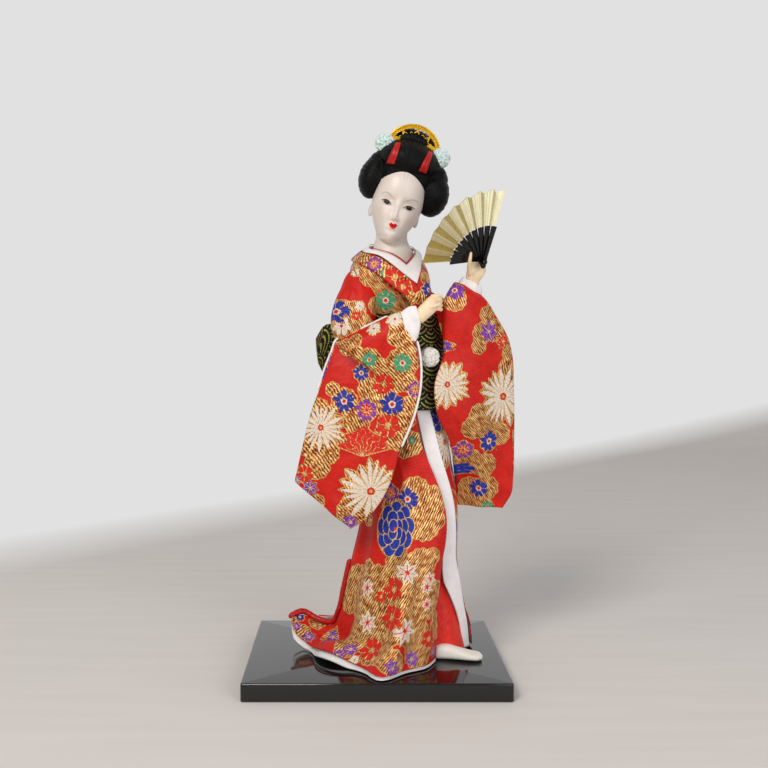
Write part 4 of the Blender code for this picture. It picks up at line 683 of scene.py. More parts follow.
def steel():
    """Drawn steel wire, dull grey with lengthwise streaks."""
    made = finish_of("drawn_steel_wire", Metallic=1.0, Roughness=0.4)
    place = add(made, "Mapping", Vector=add(made, "TexCoord").outputs["Object"], Scale=(1500, 1500, 60))
    drive(made, Base_Color=mix(made, add(made, "TexNoise", Vector=place, Scale=1.0), "77777a", "a9a9ac"))
    return made


def crepe(name, deep, pale, tip):
    """Gathered crepe: matt, crinkled about every 0.7 mm, with painted shade down in its gathers, from the field
    high, and the crinkles' raised tops painted paler, a painted highlight.
    """
    made = finish_of(name, Roughness=0.85, Sheen_Weight=0.3, Subsurface_Weight=0.2, Subsurface_Scale=0.001)
    crinkle = grain(made, 0.7, 3.0)
    # Painted shade: high is low down in the gathers, where the colour is painted deep; tip paints the raised
    # crinkles paler, a painted highlight
    tone = mix(made, painted_on(made, "high"), deep, pale)
    drive(made, Base_Color=mix(made, spread(made, crinkle, 0.45, 0.75), tone, tip))
    relief(made, crinkle, 0.6, 0.4)
    return made


# Brocade motifs


FIELDS = ("gold", "white", "blue", "green", "purple", "red", "vein")


def cloth_of(grid, out):
    """A stretch of cloth to weave on: its points, outward normals, where each shows from the front
    and its fields, each a signed distance in mm to the outline of what is woven."""
    depth = grid[..., 1] - EYE[1]
    across = VIEW_CENTRE[0] + (grid[..., 0] - EYE[0]) * VIEW_REACH / depth
    down = VIEW_CENTRE[1] - (grid[..., 2] - EYE[2]) * VIEW_REACH / depth
    facing = (out * unit(EYE - grid)).sum(axis=-1)
    fields = {name: np.full(grid.shape[:2], BARE) for name in FIELDS}
    seen = np.stack([across, down], axis=-1)
    return {"place": grid, "out": out, "seen": seen, "facing": facing, "fields": fields}


def flat_round(cloth, at):
    """Flat coordinates in mm on the cloth round the place that shows at a point of the front view,
    with the points that lie on the same side, and how many steps off that place shows."""
    off = cloth["seen"] - at
    near = (off**2).sum(axis=-1) + 1e6 * (cloth["facing"] < 0.08)
    r, c = np.unravel_index(near.argmin(), near.shape)
    shift = (np.asarray(at) - cloth["seen"][r, c]) * STEP
    return flat_at(cloth, r, c, shift), np.hypot(*shift) / STEP


def flat_at(cloth, r, c, shift=(0.0, 0.0)):
    out = cloth["out"][r, c]
    across = unit(np.cross((0, 0, 1.0), out) + (1e-6, 0, 0))
    up = np.cross(out, across)
    off = cloth["place"] - cloth["place"][r, c]
    here = (cloth["out"] @ out > 0.0) & (np.abs(off @ out) < 12)
    return off @ across - shift[0], off @ up + shift[1], here


def round_turn(x, y, count, turn):
    """Distance from the middle, and the angle from the nearest of count ways round the turn."""
    r, a = np.hypot(x, y), np.arctan2(x, y) + math.radians(turn)
    half = math.pi / count
    return r, (a + half) % (2 * half) - half


def veins(x, y, count, turn, half, reach):
    """Distance in mm into count straight lines from the middle, of a half width and a reach."""
    r, b = round_turn(x, y, count, turn)
    return np.minimum(half - r * np.abs(np.sin(b)), reach - r)


def petals(x, y, radius, count, turn=0.0, plump=0.92, inner=0.16, point=2.0, widest=0.72):
    """Signed distance into a ring of petals. Each fills its share of the turn as far as widest, and
    closes to its tip as a power of the way out; the distance is to its nearer side."""
    r, b = round_turn(x, y, count, turn)
    along, across = r * np.cos(b), r * np.abs(np.sin(b))
    slope = plump * math.tan(math.pi / count)
    wedge = slope * along
    out = np.clip((along / radius - widest) / (1 - widest), 0, 2)
    tip = slope * widest * radius * (1 - out**point)
    return np.minimum(np.minimum(np.where(out > 0, tip, wedge), wedge) - across, along - inner * radius)


def disc(x, y, radius):
    return radius - np.hypot(x, y)


def weave(cloth, colour, value, here):
    field = cloth["fields"][colour]
    field[...] = np.where(here, np.maximum(field, value), field)


def clear_under(cloth, value, here):
    """Takes what was woven before out of a motif's own ground."""
    for name in FIELDS[1:]:
        field = cloth["fields"][name]
        field[...] = np.where(here, np.minimum(field, -value), field)


def cloud(cloth, spot, size):
    """Gilt cloud: a disc whose edge is scalloped in lobes about 4.5 mm wide."""
    x, y, here = spot
    lobes = max(5, round(2 * math.pi * size / 4.6))
    a = np.arctan2(y, x)
    weave(cloth, "gold", size * (0.93 + 0.09 * np.abs(np.sin(a * lobes / 2))) - np.hypot(x, y), here)


def uneven(x, y, seed):
    """Bends a flower's plane so that its petals differ in length and width, as woven ones do."""
    r, a = np.hypot(x, y), np.arctan2(x, y)
    a = a + 0.1 * np.sin(3 * a + seed)
    r = r * (1 + 0.07 * np.sin(5 * a + 2 * seed) + 0.05 * np.sin(8 * a + seed))
    return r * np.sin(a), r * np.cos(a)


def chrysanthemum(cloth, spot, size, turn=0.0):
    """Eighteen long pointed white petals parted by gilt, with a red ring round a white eye."""
    x, y, here = spot
    x, y = uneven(x, y, size + turn)
    ground = size * 1.04 - np.hypot(x, y)
    weave(cloth, "gold", petals(x, y, size * 1.05, 18, turn, 1.15, 0, 2.0, 0.7), here)
    clear_under(cloth, ground, here)
    weave(cloth, "white", petals(x, y, size, 18, turn, 0.72, 0.12, 1.6, 0.6), here)
    weave(cloth, "red", np.minimum(disc(x, y, size * 0.13), -disc(x, y, size * 0.06)), here)


def daisy(cloth, spot, size, turn=0.0, colour="blue", count=9):
    """Round-petalled flower in one colour, outlined by gilt, with an eye."""
    x, y, here = spot
    x, y = uneven(x, y, turn + count)
    ground = petals(x, y, size + 0.5, count, turn, 1.25, 0.0, 3.0, 0.75)
    weave(cloth, "gold", ground, here)
    clear_under(cloth, ground, here)
    weave(cloth, colour, petals(x, y, size, count, turn, 0.84, 0.3, 3.0, 0.7), here)
    if colour == "red":
        weave(cloth, "vein", disc(x, y, size * 0.12), here)
    else:
        weave(cloth, "white", petals(x, y, size * 0.34, count, turn, 0.8, 0.0, 2.0), here)
        weave(cloth, "red", disc(x, y, size * 0.17), here)


def plum(cloth, spot, size, turn=0.0):
    """Purple flower with red inner petals and gilt between."""
    x, y, here = spot
    daisy(cloth, spot, size, turn, "purple")
    inner = petals(x, y, size * 0.66, 9, turn, 0.7, 0.25, 3.0, 0.7)
    weave(cloth, "red", inner, here)
    weave(cloth, "vein", np.minimum(0.16 - np.abs(inner), size * 0.7 - np.hypot(x, y)), here)


def maple(cloth, spot, size, turn=0.0):
    """White star of seven pointed lobes, each with a red vein."""
    x, y, here = spot
    ground = petals(x, y, size * 1.1, 7, turn, 1.2, 0.0, 1.2, 0.5)
    weave(cloth, "gold", ground, here)
    clear_under(cloth, ground, here)
    weave(cloth, "white", petals(x, y, size, 7, turn, 0.9, 0.0, 1.1, 0.5), here)
    line = veins(x, y, 7, turn, 0.3, size * 0.62)
    weave(cloth, "red", np.maximum(line, disc(x, y, size * 0.12)), here)


def leaf(cloth, spot, size, turn=0.0, colour="purple"):
    """Leaf of seven pointed lobes, each with a gilt vein."""
    x, y, here = spot
    ground = petals(x, y, size * 1.08, 7, turn, 1.2, 0.0, 1.3, 0.5)
    weave(cloth, "gold", ground, here)
    clear_under(cloth, ground, here)
    weave(cloth, colour, petals(x, y, size, 7, turn, 0.95, 0.0, 1.2, 0.5), here)
    weave(cloth, "vein", veins(x, y, 7, turn, 0.2, size * 0.75), here)


def spray(cloth, spot, size, turn=0.0):
    """Fan of red fronds on gilt: narrow petals over the upper part of the turn, each veined."""
    x, y, here = spot
    y = y + size * 0.62
    r, a = np.hypot(x, y), np.arctan2(x, y)
    reach = size * 1.5 * (1 - 0.16 * np.abs(np.sin(a * 3.5)))
    fan = np.minimum(reach - r, (1.25 - np.abs(a)) * np.maximum(r, 0.5))
    clear_under(cloth, fan + 0.4, here)
    weave(cloth, "gold", fan + 0.6, here)
    weave(cloth, "red", fan, here)
    bent = a + 0.10 * np.sin(r * 0.9)
    rib = np.abs((bent / 0.36 + 0.5) % 1 - 0.5) * 0.36 * np.maximum(r, 1.0)
    twig = np.abs((r * 0.42 + np.abs((bent / 0.36 + 0.5) % 1 - 0.5) * 2.4) % 1 - 0.5) / 0.42
    line = np.maximum(0.17 - rib, np.minimum(0.13 - twig, r - size * 0.3))
    weave(cloth, "vein", np.minimum(line, fan), here)


def peony(cloth, spot, size, turn=0.0):
    """Great blue flower: rings of overlapping round petals, the inner ones on top, each with a gilt
    edge."""
    x, y, here = spot
    y = y * 0.76
    ground = size - np.hypot(x, y)
    clear_under(cloth, ground + 1.0, here)
    weave(cloth, "gold", ground + 0.8, here)
    blue, line = cloth["fields"]["blue"], cloth["fields"]["vein"]
    for ring, count, petal in ((0.72, 9, 0.34), (0.45, 7, 0.30), (0.2, 4, 0.24)):
        for k in range(count):
            a = 2 * math.pi * (k + 0.5 * (ring < 0.5)) / count + math.radians(turn)
            d = size * petal - np.hypot(x - ring * size * math.sin(a), y - ring * size * math.cos(a))
            inside = here & (d > -0.35)
            blue[...] = np.where(inside, d - 0.1, blue)
            line[...] = np.where(inside, 0.24 - np.abs(d), line)
    weave(cloth, "red", size * 0.1 - np.hypot(x, y), here)


MOTIFS = {"cloud": cloud, "mum": chrysanthemum, "maple": maple, "plum": plum, "spray": spray,
          "peony": peony, "leaf": leaf, "red_leaf": partial(leaf, colour="red")}
for silk_colour, petal_count in (("blue", 9), ("green", 8), ("white", 7), ("red", 7), ("purple", 6)):
    MOTIFS[silk_colour] = partial(daisy, colour=silk_colour, count=petal_count)
SMALL_FLOWERS = ("blue", "green", "plum", "red", "leaf", "purple")
GREAT_FLOWERS = {"mum": 14.0, "maple": 7.0, "spray": 9.0, "peony": 10.0}


def weave_front(cloth, motifs):
    """Places motifs by where they show from the front, in view steps: clouds as (across, down,
    size), then flowers as (kind, across, down, size), so that every flower lies on the clouds."""
    clouds, flowers = motifs
    for kind, across, down, size, *turn in (*(("cloud", *spot) for spot in clouds), *flowers):
        spot, off = flat_round(cloth, (across, down))
        if off < size:
            MOTIFS[kind](cloth, spot, size * STEP, *turn)


def weave_scattered(cloth, count, seed, away=0.0):
    """Repeats of the brocade where the front view doesn't reach: clouds with a great flower or
    three small ones, spread apart by at least 17 mm."""
    rng = np.random.default_rng(seed)
    rows, columns = cloth["facing"].shape
    placed = []
    for _ in range(count * 12):
        r, c = int(rng.integers(3, rows - 3)), int(rng.integers(0, columns))
        here = cloth["place"][r, c]
        if cloth["facing"][r, c] > away or any(np.linalg.norm(here - p) < 17.0 for p in placed):
            continue
        placed.append(here)
        middle = flat_at(cloth, r, c)
        kind = rng.choice(["mum", "small", "small", "maple", "spray", "peony"])
        offs = [(rng.uniform(-9, 9), rng.uniform(-9, 9)) for _ in range(4)]
        for dx, dy in offs + [(0, 0)]:
            cloud(cloth, (middle[0] - dx, middle[1] - dy, middle[2]), rng.uniform(5.5, 9.5))
        if kind == "small":
            for k in range(3):
                a = 2 * math.pi * (k + rng.uniform(0, 0.4)) / 3
                spot = (middle[0] - 7.4 * math.cos(a), middle[1] - 7.4 * math.sin(a), middle[2])
                flower = MOTIFS[str(rng.choice(SMALL_FLOWERS))]
                flower(cloth, spot, rng.uniform(4.6, 6.2))
        else:
            size = GREAT_FLOWERS[str(kind)] * rng.uniform(0.85, 1.05)
            MOTIFS[str(kind)](cloth, middle, size, rng.uniform(0, 40))
        if len(placed) >= count:
            break


def brocade_on(grid, out, motifs, count, seed, away=0.0):
    """The fields of a stretch of brocade: motifs where the front view shows them, and a count of
    scattered ones where it doesn't."""
    cloth = cloth_of(grid, out)
    weave_front(cloth, motifs)
    weave_scattered(cloth, count, seed, away)
    return cloth["fields"]


# Robe


def torso_keys(off):
    """Ovals of the dressed torso from the neck ring down, grown by off."""
    shape = ((9.0, 2.5, 223.5, 10.5, 9.0), (8.4, 2.5, 221.0, 15.4, 11.0), (7.2, 2.5, 216.0, 19.8, 13.5),
             (7.8, 2.5, 208.5, 22.6, 15.5), (9.8, 2.5, 200.0, 23.4, 16.0), (12.3, 2.5, 193.0, 21.8, 16.0),
             (14.5, 2.8, 187.0, 19.6, 15.2), (16.0, 3.0, 180.0, 18.6, 14.4), (17.5, 3.2, 172.0, 18.0, 14.0))
    return [oval(x, y, z, w + off, d + off) for x, y, z, w, d in shape]


def front_dense(front, back):
    """Angles round a ring, closer together on its front half, which runs from pi to two pi."""
    return np.concatenate([np.linspace(0, math.pi, back, endpoint=False),
                           np.linspace(math.pi, 2 * math.pi, front, endpoint=False)])


def lowered(grid, start):
    """Each column of a grid again, from a share start of its way down to its foot."""
    rows = len(grid)
    at = (start[None] + (1 - start[None]) * np.linspace(0, 1, rows)[:, None]) * (rows - 1)
    k = np.clip(at.astype(int), 0, rows - 2)
    s = (at - k)[..., None]
    c = np.arange(grid.shape[1])[None]
    return grid[k, c] * (1 - s) + grid[k + 1, c] * s


def ring_sheet(name, grid, finish, thickness, back_rows=7, fields=None, out=None):
    """A tube of cloth with two faces: the rings outside, a few of them again a thickness inside."""
    out = outward(grid, True) if out is None else out
    pick = np.linspace(len(grid) - 1, 0, back_rows).round().astype(int)
    inner = (grid - out * thickness)[pick]
    if fields:
        fields = {k: np.concatenate([v, np.full(inner.shape[:2], BARE)]) for k, v in fields.items()}
    return closed(name, np.concatenate([grid, inner]), finish, fields, loop=True)


def strip(inner, outer, rows, columns):
    """Cloth stretched straight between two edge curves."""
    a, b = through(inner, rows)[:, None], through(outer, rows)[:, None]
    u = np.linspace(0, 1, columns)[None, :, None]
    return a * (1 - u) + b * u


def bodice():
    """Upper robe: rings through the torso's ovals, dented by soft creases, whose front columns
    start lower, along the V of the crossed collar."""
    def dents(across, along, angle):
        return -0.2 * (1 + creases(across * 24, along * 52, 3, 15)) * np.sin(angle)

    grid = ovals(torso_keys(0.0), 110, front_dense(190, 56), dents)
    x, y, z = np.moveaxis(grid, -1, 0)
    line = np.maximum(223 - (x + 3) / 24 * 17.5, 205.5 + (x - 21) / 3 * 17.5)
    start = ((y < 2) & (x > -3) & (x < 24) & (z > line)).mean(axis=0)
    start = np.convolve(np.concatenate([start[-3:], start, start[:3]]), np.ones(7) / 7, "valid")
    grid = lowered(grid, start)
    fields = brocade_on(grid, outward(grid, True), UPPER_MOTIFS, 9, 5)
    return ring_sheet("bodice_robe", grid, BROCADE, 0.8, fields=fields)


def lapel(name, inner, outer, seed):
    """Folded brocade collar: cloth between two edge curves, bowed out a little between them."""
    grid = strip(inner, outer, 145, 19)
    out = outward(grid, axis=(12.0, 2.5))
    u = np.linspace(-1, 1, 19)[None, :, None]
    small = creases(u * 5, np.arange(145)[:, None, None] * 0.5, seed, 7)
    grid = grid + out * (CLOTH / 2 + 0.35 * (1 - u**4) + 0.08 * small)
    fields = brocade_on(grid, out, UPPER_MOTIFS, 3, seed)
    return shell(name, grid, out, [BROCADE, SATIN], 1.0, fields=fields)


LAPEL_RIGHT = (
    (
        (9.5, 16.6, 225), (0, 13.6, 224.6), (-6.8, 4.8, 223.2), (-6.6, -5, 221), (2, -13.2, 218),
        (9.8, -16.4, 212.6), (16.4, -17.8, 207.4), (22.6, -18.6, 202), (25.4, -18.2, 193)),
    (
        (9.5, 20.2, 219), (-2, 18, 218), (-12.6, 6, 218), (-10, -8, 215), (-2, -15.4, 211),
        (5, -18, 205.6), (11, -19.2, 200.6), (16.4, -19.4, 196), (19.6, -19, 190)))
LAPEL_LEFT = (
    (
        (9.5, 16.6, 225), (18.4, 13.6, 223.2), (24.4, 5, 220.8), (25.2, -5, 217),
        (24.8, -12.8, 210.6), (23.4, -17, 204), (20, -18.4, 198)),
    (
        (9.5, 20.2, 219), (20.6, 17.6, 215.4), (28, 6.6, 213), (29.4, -5.6, 209),
        (29.8, -12.8, 203), (28.6, -17, 196.6), (26.4, -18, 190.5)))
NECKLINE = (
    (17.1, -13.6, 213.6), (12.5, -12.6, 217.2), (8.4, -11.4, 219.6), (3, -9.2, 221.4),
    (-2.4, -3, 223.4), (-2.6, 3.5, 225.2), (2, 10.2, 226.6), (9.5, 12.8, 227), (17.2, 10, 226),
    (21.6, 3.5, 224), (22.4, -3, 221.6), (20.9, -9.4, 218.2), (17.1, -13.6, 213.6))
WHITE_EDGE = (
    (22.2, -16.4, 204.2), (16.4, -16, 208.6), (9.8, -14.8, 214), (2.6, -11.8, 219.2),
    (-5.6, -4, 221.8), (-5.8, 4.5, 223.8), (0.6, 12.6, 225), (9.5, 15.2, 225.4), (19, 12.4, 224.4),
    (24.8, 4.8, 222.4), (25.6, -4, 219), (24.6, -11.8, 212), (22.2, -16.4, 204.2))


def inner_collar():
    """White under-collar: a ring of cloth from the neckline out to its edge, bowed over the neck."""
    inner, outer = through(NECKLINE, 221)[:-1], through(WHITE_EDGE, 221)[:-1]
    t = np.linspace(0, 1, 13)[:, None, None]
    grid = inner + (outer - inner) * t * 1.1
    out = outward(grid, True)
    grid = grid + out * (0.3 + 0.4 * np.sin(math.pi * t))
    return ring_sheet("inner_collar_fold", grid, WHITE, 0.6, 3, out=out)


def collar_piping():
    """Red cord along the neckline, a circle carried along its curve."""
    line = np.asarray(NECKLINE) + (0, -0.15, 0.35 + PIPING_RADIUS + 0.3)
    thin = lambda t: 0.35 + 0.65 * np.exp(-((np.minimum(t, 1 - t) / 0.13) ** 2))
    cord = tube(line, PIPING_RADIUS + 0.1, 221, 8, cyclic=True, taper=thin)
    return closed("neck_piping", cord, SATIN, loop=True)


OBI_OVALS = (
    (20.5, 4.0, OBI_BOTTOM, 23.5, 20.0), (19.5, 3.7, 150.0, 22.4, 18.8),
    (17.8, 3.3, 170.0, 21.5, 17.7), (15.6, 2.9, OBI_TOP, 21.4, 17.2))


def scales(s, t, size=9.0, pitch=2.3):
    """Distance in mm into the gilt rings of stacked scales: discs in rows half a disc apart, each
    over the row above it, with rings every pitch from a disc's middle."""
    radius = np.full(np.broadcast(s, t).shape, size)
    first = np.floor(t / (size / 2))
    for k in range(-2, 4):
        row = first + k
        middle = (np.round(s / (2 * size) - 0.5 * (row % 2)) + 0.5 * (row % 2)) * 2 * size
        r = np.hypot(s - middle, t - row * size / 2)
        radius = np.where(r < size, r, radius)
    return 0.4 - np.abs((radius + 0.3) % pitch - pitch / 2)


def ringed(grid, around=True):
    """The sash's scales over a grid, laid out by its own arc lengths."""
    flat = lengths(grid, around)[:, :grid.shape[1]] / MM
    return {"ring": scales(flat[..., 0], flat[..., 1])}


def obi():
    """Sash: rings through its ovals, with two tucks along it and slight creases."""
    def tucks(across, along, angle):
        fold = 0.5 / (1 + np.exp(-(along - 0.36) * 90)) - 0.5 / (1 + np.exp(-(along - 0.7) * 90))
        return (fold - 0.25 + 0.15 * creases(across * 20, along * 50, 9, 16)) * np.sin(angle)

    grown = [oval(x, y, z, w + OBI_THICKNESS, d + OBI_THICKNESS) for x, y, z, w, d in OBI_OVALS]
    grid = ovals(grown, 84, front_dense(176, 100), tucks)
    return ring_sheet("sash", grid, SASH, OBI_THICKNESS, 5, ringed(grid))


def in_bow(points):
    turn = math.radians(TORSO_YAW)
    below, above = np.array(OBI_OVALS[1]), np.array(OBI_OVALS[2])
    x, y, _, _, deep = below + (above - below) * (BOW_PLACE_HEIGHT - below[2]) / (above[2] - below[2])
    out = deep + OBI_THICKNESS + KNOT_HALF_DEPTH - BOW_SINK
    place = (x - out * math.sin(turn), y + out * math.cos(turn), BOW_PLACE_HEIGHT)
    return np.asarray(points, float) @ about("z", TORSO_YAW).T + place


def obi_loop(name, side):
    """Loop of the bow: flat ovals carried out sideways, with gathers that die away from the knot."""
    keys = []
    for x, top, bottom, deep in ((0.16, 0.52, 0.45, 3.6), (0.42, 0.92, 0.86, 6.4), (0.72, 1.0, 1.0, 5.6),
                                 (0.92, 0.84, 0.92, 3.2), (1.0, 0.45, 0.5, 1.0)):
        out = x * BOW_HALF_WIDTH * side
        keys.append((out, 1.0, top * BOW_HEIGHT / 2, out * 0.97, 1.0, -bottom * BOW_HEIGHT / 2, deep))

    def gathers(across, along, angle):
        deep = 0.9 * np.cos(2.5 * math.pi * across) * (1 - along) ** 1.5
        return deep + 0.3 * np.cos(17 * across) * (1 - along) ** 3

    grid = in_bow(ovals(keys, 80, 130, gathers))
    return closed(name, grid, SASH, ringed(grid))


def obi_knot():
    """Band round the bow's middle: squared ovals carried down, creased along."""
    h = 0.62 * BOW_HEIGHT / 2
    w, d = KNOT_HALF_WIDTH, KNOT_HALF_DEPTH
    levels = ((h, d * 0.7), (h * 0.5, d), (-h * 0.5, d), (-h, d * 0.7))
    keys = [(-w, 1.4, z, w, 1.4, z, deep) for z, deep in levels]
    grid = in_bow(ovals(keys, 50, 90, lambda x, t, a: 0.25 * np.cos(7 * x) * np.sin(a), squareness=0.6))
    return closed("bow_knot", grid, SASH, ringed(grid))


def obi_tail(name, side):
    """Hanging end of the sash: a strip that slants outwards and bows back as it falls."""
    t = np.linspace(0, 1, 73)[:, None]
    w = np.linspace(-0.5, 0.5, 31)[None, :]
    x = side * (6.0 + 15.0 * t) + w * TAIL_WIDTH
    y = -0.6 + 2.0 * t - 2.5 * t * t + 0.5 * np.cos(9 * w) * t
    z = -2.0 - TAIL_LENGTH * t - w * 4.0 * side * t
    grid = in_bow(points(x, y, z))
    out = towards(grid, about("z", TORSO_YAW)[:, 1])
    return shell(name, grid + out * CLOTH / 2, out, [SASH, SASH], CLOTH, fields=ringed(grid, False))


# Sleeves


SLEEVE_RIGHT = (
    (-21.5, -15, 171.5, 15.5, -26, 189.5, 2.2), (-23, -15.5, 167, 18.5, -26, 183, 6),
    (-26.2, -17, 158.8, 22.2, -26.5, 168.6, 5.6), (-30.5, -18, 145.8, 23.2, -27, 149, 4.2),
    (-34.8, -18.5, 133.9, 20, -27, 133.6, 3.6), (-38.6, -19, 118.8, 13.3, -27.5, 116.6, 3.2),
    (-41.3, -19, 106.9, 8.4, -28, 99, 3), (-42.6, -19.2, 101, 1.4, -27.6, 85.4, 2.6),
    (-43.4, -19.4, 98, -6.4, -26, 76.4, 2), (-43.2, -19.6, 96.4, -13.4, -24.2, 72, 1))
SLEEVE_LEFT = (
    (43.2, -12, 204.4, 57, -6, 198.6, 2.6), (41, -14, 201, 61.4, -5, 193.4, 5.6),
    (37.4, -17, 194, 67, -3.5, 185.4, 6.2), (36.4, -17, 180, 73.6, -1.5, 175, 6.2),
    (37.4, -16, 166, 77, 1, 164, 5), (32, -19, 149, 78.2, 3, 149, 3.8),
    (33.2, -18, 134, 78.8, 4, 133, 3.2), (41, -7, 116, 79, 5.6, 115, 3),
    (45.4, 7, 95, 78.8, 7, 95, 2.8), (46.8, 11.6, 84, 77.4, 7.6, 84.6, 2.4),
    (48, 12, 78.6, 73, 8.2, 77.4, 1.2))
UPPER_RIGHT = (
    (-6, 1, 216, 3, 0, 210, 7), (-14.6, 0.5, 209, 2, -3.5, 203, 10),
    (-19, -2.5, 200, 2, -8, 192, 11), (-23, -6, 190, 0, -12, 182, 10.5),
    (-24.2, -9, 181, -2, -14, 174, 9), (-22.5, -11, 174, -8, -14, 168, 6))
UPPER_LEFT = (
    (24, 4, 205, 22, 4, 192, 6), (32, 4.5, 200, 26, 4, 182, 9.5), (42, 5, 195, 35, 4.5, 174, 10),
    (52, 5.5, 190, 46, 5, 169, 9.5), (60, 5, 184, 56, 4.5, 169, 6))


def sleeve_wave(folds, depth, lean, seed):
    """Hanging folds across a sleeve that deepen down from its top edge: a sine across it, which
    leans with the way down, and small creases on both faces."""
    def wave(across, along, angle):
        swell = np.clip(along * 1.6, 0.15, 1) * (1 - across**2)
        small = creases(across * 22, along * 120, seed, 17)
        fine = creases(across * 22, along * 120, seed + 40, 6)
        return depth * swell * np.sin(math.pi * folds * (across + lean * along)) + (
            (1 - across**6) * (0.35 * small + 0.1 * fine - 0.3) * np.sin(angle))

    return wave


def tuck(across, along):
    """How far the cloth falls back, from 0 to 1, under the tuck that runs down from the right
    sleeve's upper corner: a sharp step that comes out again further down and fades to the wrist."""
    below = along - 0.06 - 0.23 * (across + 0.75)
    fade = np.clip((0.4 - across) / 0.5, 0, 1) * (1 - across**8)
    return fade * np.exp(-np.maximum(below, 0) / 0.1) / (1 + np.exp(-400 * below))


def tucked_wave(across, along, angle):
    """The right sleeve's folds, with its tuck."""
    return sleeve_wave(1.6, 1.3, 0.5, 21)(across, along, angle) + 4.0 * tuck(across, along)


def gathered_wave(across, along, angle):
    """Creases round the upper arm that gather at the elbow."""
    fine = creases(across * 12, along * 50, 31, 8)
    folds = 0.8 * np.sin(9 * along + 1.4 * across) * (1 - across**4)
    return folds + (0.3 * fine - 0.3) * np.sin(angle) * (1 - across**6)


def sleeve(name, keys, rows, around, wave, motifs, scattered, seed):
    """Bag of cloth: flat rings through the sleeve's ovals, moved by its folds, woven on both faces."""
    grid = ovals(keys, rows, around, wave, squareness=0.85)
    fields = brocade_on(grid, outward(grid, True), motifs, scattered, seed)
    if wave is tucked_wave:
        # Painted shadow in the tuck: fold is the tuck's depth, sharpened by a power, on the sleeve's front
        crease = tuck(np.cos(around)[None, :], np.linspace(0, 1, rows)[:, None]) ** 5
        fields["fold"] = crease * (np.sin(around) < 0)
    return closed(name, grid, BROCADE, fields)


def edging(name, points):
    """White piping along an open edge of the right sleeve: a circle carried just outside it."""
    middle = np.mean(np.asarray(SLEEVE_RIGHT, float)[:6, :6].reshape(-1, 3), axis=0)
    points = np.asarray(points, float)
    points = points + unit(points - middle) * (EDGING_RADIUS + 0.2)
    round_ends = lambda t: np.sqrt(np.clip(np.minimum(t, 1 - t) * 60, 0.02, 1))
    return closed(name, tube(points, EDGING_RADIUS + 0.1, 110, 10, taper=round_ends), WHITE)


def edgings():
    keys = np.asarray(SLEEVE_RIGHT, float)
    left, (start, end) = keys[3:0:-1, :3], keys[0, :6].reshape(2, 3)
    top = edging("sleeve_piping_top", [*left, *[start + (end - start) * t for t in (0.0, 0.3, 0.55, 0.75)]])
    first = keys[1, 3:6] + (keys[2, 3:6] - keys[1, 3:6]) * 0.75
    return top, edging("sleeve_piping_side", [first, *keys[2:6, 3:6]])


CUFF_RIGHT = (
    (13.4, -27.6, 187.6, 17, -27, 172.4, 2), (15.6, -27.6, 189.4, 19.8, -27.2, 171.2, 2.2),
    (18.2, -27.8, 190.8, 22.4, -27.4, 174.6, 2.5), (21.2, -27.8, 191, 23.8, -27.6, 180.4, 2.8))
CUFF_LEFT = (
    (44, -8, 196, 58, -4, 189, 4.6), (45, -9, 202, 59, -5.4, 196, 4.4),
    (47, -9.6, 206, 59.2, -6.4, 200.4, 4), (48.2, -9.8, 207.4, 58.8, -6.8, 202.4, 3.6))


def cuff(name, keys, seed):
    """White under-sleeve end: ovals carried along the wrist, creased lengthwise, with its mouth
    turned in and sunk."""
    def folds(across, along, angle):
        return 0.25 * creases(angle * 3, along * 6, seed, 2.4) * np.sin(angle)

    grid = ovals(keys, 44, 90, folds)
    middle = grid[-1].mean(axis=0)
    back = unit(grid[-6].mean(axis=0) - middle)
    turned_in = ((0.93, -0.2), (0.85, 0.1), (0.8, 1.5), (0.78, 3.0))
    mouth = [middle + (grid[-1] - middle) * s + back * d for s, d in turned_in]
    return closed(name, np.concatenate([grid, np.stack(mouth)]), WHITE)


# Skirt


def waist(angle, off):
    """Point on the waist: angle in degrees from straight ahead of the doll towards its right."""
    a, turn = math.radians(angle), math.radians(TORSO_YAW)
    x = -(WAIST_HALF_WIDTH + off) * math.sin(a)
    y = -(WAIST_HALF_DEPTH + off) * math.cos(a)
    return (WAIST_CENTRE[0] + x * math.cos(turn) - y * math.sin(turn),
            WAIST_CENTRE[1] + x * math.sin(turn) + y * math.cos(turn), WAIST_HEIGHT)


BACK_OFF = CLOTH / 2 + 0.3
BAND_OFF = BACK_OFF + CLOTH + 0.3
FRONT_OFF = BAND_OFF + CLOTH + 0.3
FRONT_EDGE = (
    (25, -17, 117), (31.2, -18.6, 101), (35.6, -19.4, 89), (38, -19.8, 78), (37.6, -20.2, 64.7),
    (35.6, -20.6, 54), (33.8, -21, 38.7), (32.8, -21, 28), (32.8, -21.2, 16), (32, -22, 1.4))
TRAIN_EDGE = (
    (-4.7, 4.6, 99.5), (-8.1, 3, 68.8), (-12.6, 1, 49.6), (-16, 0, 33.4), (-18.8, 1, 20.5),
    (-23, 4.5, 12), (-32, 9.5, 11.5), (-41, 12, 15), (-47, 9, 13.5))
FRONT_HEM = (
    (32, -22, 1.4), (25.6, -34.5, 1.3), (15.3, -41.5, 1.3), (1.4, -51.5, 1.3), (-8, -40, 3),
    (-19, -31.5, 5), (-30, -21, 5), (-38.5, -3, 4), (-45.5, 3, 8), (-47, 9, 13.5))
BACK_LEFT_EDGE = (
    (-3.2, 1.5, 99.5), (-6.2, 0.5, 68.8), (-10.2, 0.5, 49.6), (-13, 2, 33.4), (-15, 6, 21),
    (-21, 13, 14.5), (-32, 20, 12.5))
BACK_HEM = (
    (-32, 21, 12.5), (-35, 27, 7), (-24, 38, 1.6), (8, 45.5, 1.3), (36, 38, 1.3), (51, 22, 1.3),
    (54.8, 5, 1.3))
